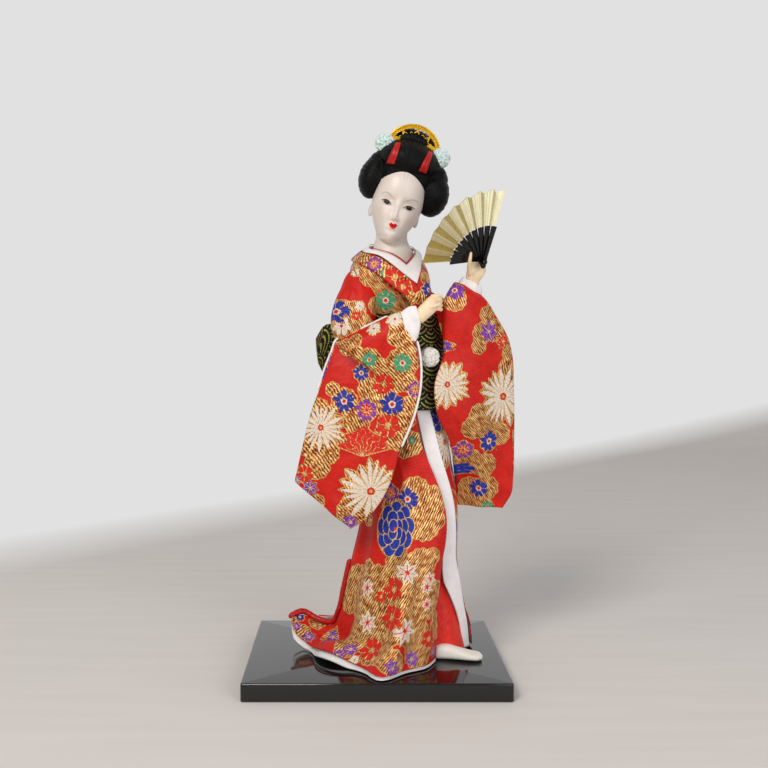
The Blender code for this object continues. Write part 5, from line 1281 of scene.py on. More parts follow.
BACK_RIGHT_EDGE = (
    (33.6, -12, 113), (41.4, -8.6, 82.5), (42.8, -6.6, 64), (43.6, -4.6, 52), (46.6, -2.4, 38),
    (50, 0.2, 24), (53.2, 2.4, 13), (54.4, 5, 1.3))
BAND_INNER = (
    (27.6, -14.6, 111), (36.2, -14.2, 83), (38.2, -14.4, 68), (36.6, -14.6, 53), (37.4, -13, 41),
    (41.5, -10.5, 32), (46.2, -7, 19), (49, -3.5, 1.6))
BAND_OUTER = (
    (35, -14.8, 113), (43.2, -11.6, 82.5), (44.4, -10.2, 64), (44.4, -8.6, 54), (47, -6.4, 40),
    (49.2, -4, 26.4), (51.4, -1.4, 15), (52.8, 1.2, 1.6))
SKIRT_AXIS = (19.0, 3.0)


def pleated(grid, count, depth, start, seed):
    """Moves a grid along its normals: a cosine of soft folds that deepen down the rows, and small
    creases that run mostly down, all calm at the side edges."""
    out = outward(grid, axis=SKIRT_AXIS)
    u, v = np.linspace(0, 1, grid.shape[1])[None, :], np.linspace(0, 1, grid.shape[0])[:, None]
    calm = np.sin(math.pi * u)
    folds = depth * calm * np.clip((v - start) / (1 - start), 0, 1) * np.cos(2 * math.pi * count * u)
    small = 0.4 * creases(u * 70, v * 45, seed, 15) + 0.12 * creases(u * 80, v * 50, seed + 9, 5)
    side = np.sign((out * grid_normals(grid)).sum())
    folded = grid + out * (side * folds + calm**0.5 * (small - 0.2))[:, :, None]
    folded[:, :, 2] = np.maximum(folded[:, :, 2], CLOTH / 2 + 0.6)
    return folded


def front_grid(rows, columns):
    top = [waist(a, FRONT_OFF) for a in np.linspace(12, 108, 9)]
    grid = patch(top, FRONT_HEM, [top[0], *FRONT_EDGE], [top[-1], *TRAIN_EDGE], rows, columns, hug=1.9)
    return pleated(grid, 3, 1.1, 0.35, 11)


def skirt_front():
    """Outer wrap of the skirt: a patch between its waist, its front edge, its hem and its train."""
    grid = front_grid(241, 181)
    out = outward(grid, axis=SKIRT_AXIS)
    grid = grid + out * CLOTH / 2
    grid[..., 2] += 1.1 * np.clip((np.linspace(0, 1, 241) - 0.95) / 0.05, 0, 1)[:, None]
    fields = brocade_on(grid, out, SKIRT_MOTIFS, 12, 17, -0.05)
    return shell("skirt_wrap_front", grid, out, [BROCADE, WHITE], 0.8, fields=fields, hold=0.1)


def skirt_lining():
    """White lining: the skirt's last quarter again under it, let down a little past its hem."""
    grid = front_grid(97, 181)
    out = outward(grid, axis=SKIRT_AXIS)
    drop = np.clip((np.linspace(0, 1, 25) - 0.66) / 0.34, 0, 1)[:, None]
    out = out[-25:]
    grid = grid[-25:] - out * ((CLOTH + 0.6) * (1 - 0.9 * drop))[..., None]
    grid[..., 2] = np.maximum(grid[..., 2] - 3.0 * drop, CLOTH / 2 + 0.3)
    return shell("skirt_hem_lining", grid + out * CLOTH / 2, out, [WHITE, WHITE], CLOTH)


def skirt_back():
    """Inner wrap: a patch from under the outer one round the back to the doll's left front."""
    top = [waist(a, BACK_OFF) for a in np.linspace(102, 350, 15)]
    grid = patch(top, BACK_HEM, [top[0], *BACK_LEFT_EDGE], [top[-1], *BACK_RIGHT_EDGE], 145, 241, hug=1.7)
    grid = pleated(grid, 5, 1.4, 0.3, 12)
    out = outward(grid, axis=SKIRT_AXIS)
    grid = grid + out * CLOTH / 2
    fields = brocade_on(grid, out, ((), ()), 34, 23, 2.0)
    return shell("skirt_wrap_back", grid, out, [BROCADE, WHITE], 0.8, fields=fields)


def edge_band():
    """White turned edge down the front: cloth between two curves, bowed out, with long creases."""
    grid = strip([waist(14, BAND_OFF), *BAND_INNER], [waist(-8, BAND_OFF), *BAND_OUTER], 121, 19)
    out = outward(grid, axis=SKIRT_AXIS)
    u, v = np.linspace(-1, 1, 19)[None, :, None], np.linspace(0, 1, 121)[:, None, None]
    grid = grid + out * (0.4 + 0.3 * (1 - u * u) + 0.15 * creases(u * 6, v * 40, 14, 5) * (1 - u**4))
    return shell("front_edge_fold", grid, out, [WHITE, WHITE], 0.8)


def hem_roll():
    """Padded red roll along the train: a circle carried along it, pinched a little by its stitches."""
    line = np.asarray(TRAIN_EDGE[2:], float)
    away = unit(np.array([(-0.4, 0.9, 0.0), (-0.5, 0.9, 0.1), (-0.5, 0.9, 0.2), (-0.3, 0.8, 0.6),
                          (-0.1, 0.5, 0.9), (-0.1, 0.4, 0.9), (-0.9, 0.5, 0.6)]))
    line = line + away * (HEM_ROLL_RADIUS + CLOTH / 2 + 0.3)
    swell = lambda t: np.sqrt(np.clip(np.minimum(t, 1 - t) * 45, 0.02, 1)) * (1 + 0.035 * np.cos(t * 150))
    return closed("train_roll", tube(line, HEM_ROLL_RADIUS, 150, 22, taper=swell), SATIN)


def underskirt():
    """Red under-robe round the legs: rings through its ovals with folds that deepen down."""
    keys = [oval(20.0, 2.0, 84.0, 13.5, 11.5, 10), oval(20.5, 0.0, 60.0, 15.5, 12.6, 10),
            oval(22.0, -2.4, 40.0, 18.2, 13.8, 10), oval(24.4, -3.8, 20.0, 21.8, 14.4, 8),
            oval(26.2, -4.2, 1.2, 24.0, 14.6, 6)]

    def folds(across, along, angle):
        small = 0.15 * creases(angle * 20, along * 80, 15, 9)
        return (0.7 * along * np.cos(11 * angle + 3 * along) + small) * np.sin(angle)

    # The underskirt takes a copy of the red satin painted lighter: painted light over the shade it stands in
    return ring_sheet("red_underskirt", ovals(keys, 70, 150, folds), UNDER_SATIN_PAINTED_LIGHTER, CLOTH, 5)


def foot(name, heel, toe, width, height):
    """Split-toe sock: squared ovals carried from heel to toe, with a groove between its toes."""
    heel, toe = np.asarray(heel, float), np.asarray(toe, float)
    way = unit(toe - heel)
    side = np.array((-way[1], way[0]))
    length = np.linalg.norm(toe - heel)
    keys = []
    for t, wide, tall in ((0.0, 0.30, 0.55), (0.08, 0.62, 0.85), (0.30, 0.72, 1.0), (0.55, 0.86, 0.78),
                          (0.80, 1.0, 0.52), (0.95, 0.78, 0.40), (1.0, 0.42, 0.25)):
        c = heel + way * length * t
        half = wide * width / 2
        z = tall * height / 2 + 0.3
        keys.append((*(c - side * half), z, *(c + side * half), z, tall * height / 2))

    def groove(across, along, angle):
        line = np.exp(-(((across - 0.3) / 0.07) ** 2))
        return -1.4 * line * np.clip((along - 0.72) / 0.15, 0, 1) * np.sin(angle)

    return closed(name, ovals(keys, 70, 90, groove, squareness=0.8), COTTON)


# Head and hands


def head_profile(z):
    """Half width, front depth and back depth of the bare head at height z over the eye line."""
    at = (-21.0, -20.2, -18.0, -14.0, -9.0, -3.0, 3.0, 10.0, 17.0, 22.5, 25.5, 26.5)
    keys = ((1.0, 8.8, -4.0), (3.8, 11.0, -2.0), (6.0, 12.8, 1.0), (8.5, 13.4, 6.0), (11.1, 13.5, 10.5),
            (13.5, 13.3, 13.8), (14.2, 13.8, 15.4), (14.0, 14.2, 15.8), (12.2, 12.6, 13.6), (8.2, 8.8, 9.2),
            (3.8, 4.0, 4.2), (0.5, 0.5, 0.5))
    return read_at(at, keys, z) * (1.0, 1.0, 15.5 / 15.8)


def bump(x, z, x0, z0, wide, tall):
    """A soft mound of height 1 round a place on the face."""
    return np.exp(-(((x - x0) / wide) ** 2) - ((z - z0) / tall) ** 2)


def features(x, z):
    """How far the face stands forward of the plain oval: a sum of soft mounds for the nose, lips,
    chin and cheeks, and hollows for the eyes and the line of the mouth."""
    at = partial(bump, np.abs(x), z)
    nose = 1.8 * at(0, -7.3, 1.4, 1.7) + 1.0 * at(0, -4.4, 1.2, 3.4) + 0.5 * at(0, 0.0, 1.3, 3.0)
    wings = 0.6 * at(1.5, -8.0, 0.75, 0.85) - 0.7 * at(0.75, -8.9, 0.45, 0.35)
    upper = 1.15 * at(0.85, -11.0, 1.35, 0.75) - 0.35 * at(0, -10.0, 0.5, 1.0)
    lower = 1.15 * at(0, -13.0, 1.7, 0.85) - 0.55 * at(0, -11.8, 2.4, 0.3) - 0.5 * at(0, -14.8, 2.4, 0.8)
    chin = 0.7 * at(0, -17.4, 4.2, 2.6)
    sockets = -1.2 * at(6.0, 2.4, 3.6, 1.8) - 0.5 * at(3.4, 0.2, 1.2, 2.0)
    eyes = 0.95 * at(6.2, 0.2, 2.7, 1.5) - 0.3 * at(6.2, -1.7, 3.0, 0.6)
    cheeks = 0.8 * at(7.4, -6.6, 3.8, 4.2) - 0.35 * at(3.6, -9.6, 0.9, 2.2)
    return nose + wings + upper + lower + chin + sockets + eyes + cheeks


def skull():
    """Rings of the head, half ellipses front and back, closest together where the face is painted."""
    z = np.concatenate([np.linspace(-20.95, -16, 12, endpoint=False),
                        np.linspace(-16, 7, 150, endpoint=False), np.linspace(7, 26.45, 36)])
    wide, front, back = head_profile(z).T
    fine = 2 * math.pi - np.arccos(np.linspace(-0.8, 0.8, 150))
    back_angles = np.linspace(0, math.pi, 30, endpoint=False)
    temples = (np.linspace(math.pi, fine[0], 9, endpoint=False),
               np.linspace(2 * math.pi, fine[-1], 9, endpoint=False)[::-1])
    angle = np.concatenate([back_angles, temples[0], fine, temples[1]])[:-1]
    x = wide[:, None] * np.cos(angle)
    y = np.where(np.sin(angle) < 0, front[:, None], back[:, None]) * np.sin(angle)
    facing = np.clip(-np.sin(angle) * 1.6 - 0.25, 0, 1)[None, :]
    y = y - features(x, z[:, None]) * facing
    return points(x, y, z[:, None])


def stroke(x, z, path, *halves):
    """Distance in mm into a brush stroke along a smooth path, whose half width changes along it."""
    line = through([(*p, h) for p, h in zip(path, halves)], 40)
    far = np.hypot(x[:, None] - line[:, 0], z[:, None] - line[:, 1])
    return (line[:, 2] - far).max(axis=1)


def between(x, z, upper, lower):
    """Distance in mm into the shape between two curves that share their ends."""
    upper, lower = np.asarray(upper, float), np.asarray(lower, float)
    high = np.interp(x, *through(upper, 60)[:, :2].T)
    low = np.interp(x, *through(lower, 60)[:, :2].T)
    ends = np.minimum(x - upper[0, 0], upper[-1, 0] - x)
    return np.minimum(np.minimum(high - z, z - low), ends + 0.05)


EYES = (
    (
        ((-9.4, 0.9), (-8.0, 1.4), (-6.3, 1.2), (-3.7, -0.7)),
        ((-9.4, 0.9), (-8.0, -0.15), (-6.2, -1.05), (-3.7, -0.7)), (-6.5, 0.1)),
    (
        ((2.9, -0.7), (4.8, 0.6), (6.9, 1.1), (9.5, 0.9)),
        ((2.9, -0.7), (4.7, -1.0), (6.9, -1.0), (9.5, 0.9)), (6.1, 0.0)))
BROWS = (((-10.4, 4.2), (-8.6, 5.3), (-6.1, 4.7), (-3.9, 3.0)),
         ((3.6, 3.2), (6.9, 4.9), (9.8, 4.9), (10.9, 3.9)))
MOUTH = (
    ((-2.2, -11.4), (-1.3, -10.2), (-0.2, -10.75), (1.0, -10.1), (2.3, -10.9)),
    ((-2.2, -11.4), (-1.2, -12.9), (0.3, -13.5), (1.6, -12.8), (2.3, -10.9)))

LIP_LINE = ((-2.0, -11.6), (-0.6, -11.75), (0.2, -11.95), (1.2, -11.5), (2.3, -10.95))
STRAY_HAIRS = (((-1.1, 18.6), (-0.9, 16.0), (-0.3, 13.6)), ((1.6, 18.6), (1.0, 16.4), (1.2, 14.6)))


def painted(places):
    """The face's painted shapes, each a distance in mm in the plane of the face, and its soft
    flush and painted shade, from 0 to 1."""
    x, y, z = from_figure_to_head(places).T
    front = y < -3
    made = {}
    lids = [between(x, z, up, low) for up, low, _ in EYES]
    made["eyewhite"] = np.maximum(*lids)
    made["iris"] = np.maximum(*[np.minimum(1.25 - np.hypot((x - c[0]) / 1.35, z - c[1]), lid + 0.1)
                                for lid, (_, _, c) in zip(lids, EYES)])
    # glint is a painted highlight, a white dot on each iris
    made["glint"] = np.maximum(*[0.1 - np.hypot(x - c[0] + 0.4, z - c[1] - 0.35) for _, _, c in EYES])
    draw = partial(stroke, x, z)
    made["lash"] = np.maximum(*[np.maximum(draw(up, 0.14, 0.34, 0.36, 0.14), draw(low, 0.1, 0.1, 0.12, 0.1))
                                for up, low, _ in EYES])
    made["crease"] = np.maximum(*[draw([(a, b + 1.0) for a, b in up], 0.02, 0.09, 0.09, 0.02)
                                  for up, _, _ in EYES])
    made["brow"] = np.maximum(draw(BROWS[0], 0.06, 0.2, 0.24, 0.12), draw(BROWS[1], 0.1, 0.2, 0.22, 0.08))
    made["lips"] = between(x, z, *MOUTH)
    made["lipline"] = draw(LIP_LINE, 0.05, 0.12, 0.14, 0.12, 0.05)
    made["stray"] = np.maximum(draw(STRAY_HAIRS[0], 0.1, 0.08, 0.02),
                               draw(STRAY_HAIRS[1], 0.08, 0.06, 0.02))
    made = {k: np.where(front, v, BARE) for k, v in made.items()}
    both, one = partial(bump, np.abs(x), z), partial(bump, x, z)
    made["flush"] = front * (0.22 * both(7.6, -5.6, 3.4, 3.4) + 0.2 * one(0.4, -7.6, 2.0, 1.6)
                             + 0.2 * one(0.3, -18.0, 3.0, 2.0) + 0.3 * both(6.4, 2.2, 3.4, 1.0))
    # socket is painted shade: darker in the eye sockets, above the eyes and at the nostrils
    made["socket"] = front * (0.35 * both(3.0, 1.4, 1.3, 2.2) + 0.3 * both(6.3, 2.5, 3.0, 0.6)
                              + 0.5 * bump(np.abs(x - 0.4), z, 1.0, -9.0, 0.5, 0.3))
    return made


NECK_OVALS = ((11.4, 1.6, 241.0, -0.6, -0.4, 0), (9.9, 1.8, 234.0, 0, 0, 0),
              (9.4, 1.6, 229.0, 0.3, 0.1, 0), (9.6, 1.3, 225.0, 1.5, 0.8, 5),
              (10.0, 0.9, 221.5, 2.9, 1.7, 10), (11.0, 0.0, 215.0, 3.3, 2.4, TORSO_YAW),
              (13.4, -0.6, 207.0, 3.6, 2.8, TORSO_YAW), (14.0, -0.4, 202.0, 2.0, 1.4, TORSO_YAW))


def head():
    """Head, neck and ears: the skull's rings, the neck's ovals, and two flat ears, in one piece."""
    neck = [oval(x, y, z, NECK_RADIUS + wider, NECK_RADIUS + deeper, yaw)
            for x, y, z, wider, deeper, yaw in NECK_OVALS]
    grids = [in_head(skull()), ovals(neck, 50, 70)]
    for side in (-1, 1):
        a, h = turns(28)[None, :], np.linspace(0.02, math.pi - 0.02, 22)[:, None]
        rim = 1 - 0.25 * np.cos(a * side) * np.sin(h)
        ear = points(1.3 * np.sin(h) * np.cos(a) * rim, 2.4 * np.sin(h) * np.sin(a), 3.6 * np.cos(h))
        grids.append(in_head(ear @ about("z", side * -24).T + (side * 13.0, 2.6, -4.2)))
    obj = joined("doll_head", grids, FACE)
    for key, values in painted(points_of(obj)).items():
        obj.data.attributes.new(key, "FLOAT", "POINT").data.foreach_set("value", values.astype(np.float32))
    return obj


def reach(direction, centre, radii):
    """How far a ray from the origin runs before it leaves an ellipsoid, or 0 where it misses."""
    scaled, offset = direction / radii, -np.asarray(centre) / radii
    a = (scaled**2).sum(axis=-1)
    b = (scaled * offset).sum(axis=-1)
    inside = b * b - a * ((offset**2).sum() - 1)
    far = (-b + np.sqrt(np.maximum(inside, 0))) / a
    return np.where(inside > 0, np.maximum(far, 0), 0)


HAIR_CENTRE = np.array((0.0, 2.0, 8.0))
HAIR_MASSES = (
    ((0, 1, 10), (16.5, 15.5, 19)), ((-16.8, 0.5, 5), (8, 10, 11.6)),
    ((18.4, 0.5, 4.4), (9, 10, 12.2)), ((0, -4.5, 17.5), (15, 12.6, 9.6)),
    ((0, 11, -5), (12.5, 10.5, 13)), ((1.6, 2, 16), (20, 11, 11)), ((0, 7, 4), (18, 12, 13)))
FACE_OPENING = ((0.0, -2.0), (13.9, 20.4))


def hair_surface(direction):
    """Blend of the hair's rounded masses seen from the middle of the head, drawn in over the face."""
    total = sum(reach(direction, centre, radii) ** 8.0 for centre, radii in HAIR_MASSES)
    far = total ** (1 / 8.0)
    x, y, z = np.moveaxis(direction * far[..., None] + HAIR_CENTRE, -1, 0)
    (x0, z0), (wide, tall) = FACE_OPENING
    arch = np.where(z > z0, ((x - x0) / wide) ** 2 + ((z - z0) / tall) ** 2 - 1, np.abs(x - x0) / wide - 1)
    keep = 1 / (1 + np.exp(-36.0 * arch))
    return far * np.where(y < 0, 0.45 + 0.55 * keep, 1.0)


def wig():
    """Dressed hair: the blend of its masses in every direction, on rings round the axis from the
    face to the back, so that the strands between them run back from the face, grooved in locks."""
    way = np.linspace(0.01, math.pi - 0.01, 150)[:, None]
    turn = turns(280)[None, :]
    direction = points(np.sin(way) * np.cos(turn), -np.cos(way), np.sin(way) * np.sin(turn))
    far = hair_surface(direction)
    locks = 0.5 + 0.5 * np.sin(turn * 41 + 2.2 * creases(turn * 4, way * 2, 4, 1.6))
    fine = np.sin(turn * 83 + 1.5 * way + 2.0 * creases(turn * 7, way * 3, 6, 1.3))
    far = far - (0.2 * locks**2 + 0.08 * fine + 0.1) * np.sin(way)
    return closed("dressed_hair", in_head(direction * far[..., None] + HAIR_CENTRE), HAIR)


def chignon():
    """Knot of hair on the crown: ovals carried back over it, with its strands along them."""
    keys = [(-4.0, 3.6, 34.0, 4.0, 3.6, 34.0, 4.0), (-12.4, 4.6, 36.5, 12.4, 4.6, 36.5, 8.6),
            (-13.6, 9.0, 37.0, 13.6, 9.0, 37.0, 8.8), (-10.5, 14.0, 34.0, 10.5, 14.0, 34.0, 7.4),
            (-3.0, 17.5, 29.0, 3.0, 17.5, 29.0, 3.0)]
    grid = ovals(keys, 60, 120, lambda x, t, a: 0.22 * np.sin(a * 34) * np.sin(a))
    return closed("hair_knot", in_head(grid), HAIR)


def front_of_hair(x, z):
    """The hair's foremost y at places across and up, found along rays from the head's middle."""
    y = -np.linspace(0.0, 24.0, 481)
    point = points(x[..., None], y, z[..., None]) - HAIR_CENTRE
    far = np.linalg.norm(point, axis=-1)
    inside = far <= hair_surface(point / far[..., None])
    return np.where(inside, y, 0.0).min(axis=-1)


def hair_ribbon(name, side):
    """Flat ribbon from the comb down over the swept-up front, lying on the hair's own surface."""
    t, w = np.linspace(0, 1, 37)[:, None], np.linspace(-0.5, 0.5, 13)[None, :]
    z = 33.5 - 12.5 * t + 0 * w
    x = RIBBON_SPREAD * side + 0.65 - (1.4 if side < 0 else 1.7) * t + w * RIBBON_WIDTH * (0.62 + 0.4 * t)
    y = front_of_hair(x, z)
    y = y - 0.55 + 0.12 * np.cos(w * 14)
    grid = in_head(points(x, y, z))
    out = towards(grid, -HEAD_TURN[:, 1])
    return shell(name, grid + out * 0.25, out, [SATIN, SATIN], 0.5)


def bloom(name, centre, radius, finish, count, seed, squash, turn):
    """Gathered cloth flower: a ball whose radius swells in ruffled petals. Ridges are one minus the
    size of a sine, so they're round on top and sharp in the gathers."""
    up, a = np.linspace(0.02, math.pi - 0.02, 66)[:, None], turns(92)[None, :]
    bend = 0.5 * creases(a * 3, up * 4, seed, 3.0)
    rings = np.abs(np.sin(count * a / 2 + 2.4 * up + bend))
    layers = np.abs(np.sin(4.5 * up + 0.8 * np.sin(count * a + seed) + bend))
    high = (0.55 * rings + 0.45 * layers) ** 0.8
    far = radius * (0.86 + 0.2 * high * np.sin(up) ** 0.5 + 0.05 * creases(a * 6, up * 6, seed + 3, 1.8))
    ball = points(np.sin(up) * np.cos(a), -np.cos(up) * squash, np.sin(up) * np.sin(a))
    grid = ball * far[..., None] @ turn.T + centre
    # high is also the crepe's painted shade: low in the gathers, where its colour is painted darker
    return closed(name, grid, finish, {"high": high + 0 * grid[..., 0]})


def comb_scrolls():
    """Raised work on the comb's front: a cord along its rim, one under it, and curls between,
    each a circle carried along an arc or a spiral."""
    lean = about("x", 90 + COMB_LEAN)
    cords = []

    def laid(x, up, height=0.95):
        flat = np.stack([x, up, np.full_like(x, height)], axis=1)
        return in_head(flat @ lean.T + COMB_PLACE)

    for radius, size in ((COMB_RADIUS - 0.5, 0.55), (COMB_RADIUS - 2.3, 0.35)):
        a = np.radians(np.linspace(13, 167, 60))
        cords.append(tube(laid(radius * np.cos(a), radius * np.sin(a)), size, 110, 9))
    for k in range(9):
        middle = math.radians(22 + 17 * k)
        t = np.linspace(0, 1, 40)
        spin = middle + math.pi / 2 + (1 if k % 2 else -1) * t * 7.5
        far = 1.5 * (1 - 0.8 * t)
        x = 10.9 * math.cos(middle) + far * np.cos(spin)
        cords.append(tube(laid(x, 10.9 * math.sin(middle) + far * np.sin(spin), 0.85), 0.3, 60, 7))
    for k in range(24):
        a = math.radians(15 + 150 * k / 23)
        out = COMB_RADIUS - 1.4
        centre = laid(np.array([out * math.cos(a)]), np.array([out * math.sin(a)]), 0.8)[0]
        h, b = np.linspace(0.05, math.pi - 0.05, 9)[:, None], turns(10)[None, :]
        ball = points(np.sin(h) * np.cos(b), np.sin(h) * np.sin(b), np.cos(h))
        cords.append(centre + 0.5 * ball)
    return joined("comb_relief", cords, GILT)


def finger(joints):
    """A finger: a circle carried along its joints, slimmer to the tip, which it closes round."""
    at, share = (0, 0.35, 0.6, 0.8, 0.92, 0.98, 1.0), (1.02, 1.0, 0.96, 0.88, 0.74, 0.5, 0.15)
    return tube(joints, FINGER_RADIUS, 30, 14, taper=lambda t: np.interp(t, at, share))


def hand(name, palm, fingers):
    """Palm of ovals and fingers of tapering tubes, fused and smoothed as one casting."""
    grids = [ovals(palm, 30, 40)] + [finger(joints) for joints in fingers]
    return cast(joined(name, grids, HAND), 0.27, 7)


def hand_right():
    palm = [(21.4, -27.8, 188.6, 23.4, -27.7, 181.6, 2.6), (22.4, -27.8, 190.0, 24.8, -27.7, 182.0, 3.0),
            (24.6, -27.8, 192.2, 27.6, -27.4, 184.2, 3.2), (29.0, -26.8, 196.2, 32.0, -26.0, 188.4, 2.9),
            (31.0, -26.0, 197.0, 33.4, -25.4, 190.4, 1.6)]
    fingers = [[(29.5, -26.4, z - 0.4), (33.2, -25.6, z), (35.0, -23.6, z - 0.4), (34.8, -21.2, z - 0.6)]
               for z in (196.4, 194.1, 191.8, 189.5)]
    fingers.append([(25.6, -28.6, 189.0), (29.0, -30.0, 190.4), (32.6, -29.2, 191.4), (34.6, -27.6, 191.4)])
    return hand("doll_hand_right", palm, fingers)


def hand_left():
    palm = [(50.4, -9.2, 205.6, 57.2, -7.0, 202.6, 2.7), (50.0, -9.4, 207.0, 57.8, -7.6, 205.2, 2.9),
            (50.2, -9.4, 209.6, 60.0, -8.4, 208.4, 3.1), (52.0, -8.6, 213.8, 61.2, -8.2, 213.0, 2.6),
            (54.0, -8.0, 216.0, 60.0, -8.0, 215.6, 1.4)]
    fingers = [[(x - 1.6, -8.3, 210.6), (x, -7.6, 216.0), (x + 0.4, -8.2, z), (x + 0.2, -9.6, z + 2.0)]
               for x, z in ((53.6, 219.2), (55.9, 219.8), (58.2, 219.0), (60.5, 217.4))]
    fingers.append([(52.2, -10.6, 208.0), (50.8, -15.4, 211.4), (50.8, -20.0, 215.4), (51.4, -21.4, 220.4)])
    return hand("doll_hand_left", palm, fingers)


# Fan and board


def fan_leaf():
    """Gilt leaf: a sector folded to a mountain and a valley for every stick. Between two folds the
    points lie on a straight line, so each pleat is flat, and the rim is notched at the valleys."""
    folds = 2 * (STICK_COUNT - 1)
    share = np.linspace(0, 1, folds * 8 + 1)
    line = np.arange(folds + 1)
    zigzag = np.interp(share * folds, line, np.where(line % 2, 0.5, -0.5))
    valley = np.interp(share * folds, line, np.where(line % 2, 1.0, 0.0))
    radius = np.linspace(STICK_LENGTH + 0.3, FAN_RADIUS, 33)[:, None]
    a = np.radians(FAN_FROM + (FAN_TO - FAN_FROM) * share)[None, :]
    depth = (share - 0.5) * STICK_PITCH * (STICK_COUNT - 1)
    fold = PLEAT_DEPTH * (0.35 + 0.65 * radius / FAN_RADIUS) * zigzag
    out = radius * (1 - 0.075 * valley * np.clip((radius - 30) / 10.5, 0, 1))
    sag = 0.12 * creases(share * 90, radius, 8, 9)
    grid = in_fan(points(out * np.cos(a), depth + fold + sag, out * np.sin(a)))
    front = towards(grid, -fan_turn()[:, 1])
    # Painted light and shade: every other pleat, the one that faces the light, gets a high lit value that fades
    # along the spread, the others a low one
    to_light = np.interp(share, (0, 0.4, 0.65, 1), (1, 1, 0.62, 0.3))
    off_light = np.interp(share, (0, 0.5, 1), (0.5, 0.12, 0))
    lit = np.where(np.arange(len(share)) // 8 % 2 == 0, to_light, off_light)
    fields = {"lit": np.broadcast_to(lit, grid.shape[:2]), "spread": np.broadcast_to(share, grid.shape[:2])}
    obj = shell("fan_gilt_leaf", grid + front * 0.2, front, [FOIL, FOIL], 0.4, step=8, fields=fields)
    obj.data.set_sharp_from_angle(angle=math.radians(22))
    return obj


def board():
    """Lacquered board: a rounded rectangle carried through a rounded edge."""
    def outline(inset):
        corner = BOARD_CORNER - inset
        a = np.radians(np.arange(0, 90, 15))
        pieces = []
        for k, (sx, sy) in enumerate(((1, 1), (-1, 1), (-1, -1), (1, -1))):
            cx = sx * (BOARD_WIDTH / 2 - BOARD_CORNER)
            cy = sy * (BOARD_DEPTH / 2 - BOARD_CORNER)
            b = a + k * math.pi / 2
            pieces.append(np.stack([cx + corner * np.cos(b), cy + corner * np.sin(b)], axis=1))
        return np.concatenate(pieces)

    edge = BOARD_EDGE
    turn = np.linspace(0, math.pi / 2, 7)
    rows = [(edge * (1 - math.cos(t)), -edge * (1 - math.sin(t))) for t in turn[::-1]]
    rows += [(edge * (1 - math.cos(t)), edge * (1 - math.sin(t)) - BOARD_THICKNESS) for t in turn]
    grid = np.stack([np.c_[outline(inset), np.full(24, z)] for inset, z in rows])
    return closed("lacquered_board", grid, LACQUER)


# Finishes, then the pieces


BROCADE, SASH, SATIN, WHITE = red_brocade(), sash_brocade(), red_satin(), white_silk()
# A copy of the red satin painted lighter, as painted light, for the underskirt, which stands in the shade of
# the skirt's edge and the white band
UNDER_SATIN_PAINTED_LIGHTER = red_satin("red_rayon_satin_painted_lighter", "c61004", "ff2c12")
FACE, HAIR, GILT, FOIL = face_resin(), black_hair(), gilt(), gilt_paper()
LACQUER, STEEL = lacquer(), steel()
# Bleached cotton of the split-toe socks: smooth and a little cream
COTTON = grained("bleached_cotton", 0.6, 2.0, "e6e0d4", "fbf7ee", 0.15, 0.2,
                 Roughness=0.75, Sheen_Weight=0.2)
# Cast resin of the hands, warmer than the face and unpainted: satin and faintly mottled
HAND = grained("cast_flesh_resin", 5.0, 2.0, "f3d2a6", "fbe6c6", 0.05, 0.3,
               Roughness=0.45, Subsurface_Weight=0.15, Subsurface_Scale=0.002)
# Gloss black moulded sticks: smooth, with a faint unevenness
GLOSS = grained("gloss_black_polystyrene", 1.5, 2.0, "030303", "0c0b0b", 0.06, 0.2,
                Roughness=0.28, Specular_IOR_Level=0.4)
# Bleached cotton wadding inside the robe: matt and lumpy
PADDING = grained("cotton_wadding", 1.2, 4.0, "cfc8bc", "efeae0", 0.5, 0.8, Roughness=0.95)
# Each crepe's colours: painted shade in the gathers, its own colour on the ridges, and a paler painted
# highlight on the crinkles' tops
CREPE = crepe("pale_green_crepe", "7fa8a2", "d7ebe6", "f2fbf8")
WHITE_CREPE = crepe("white_crepe", "a8a49a", "f0ece2", "fffdf8")

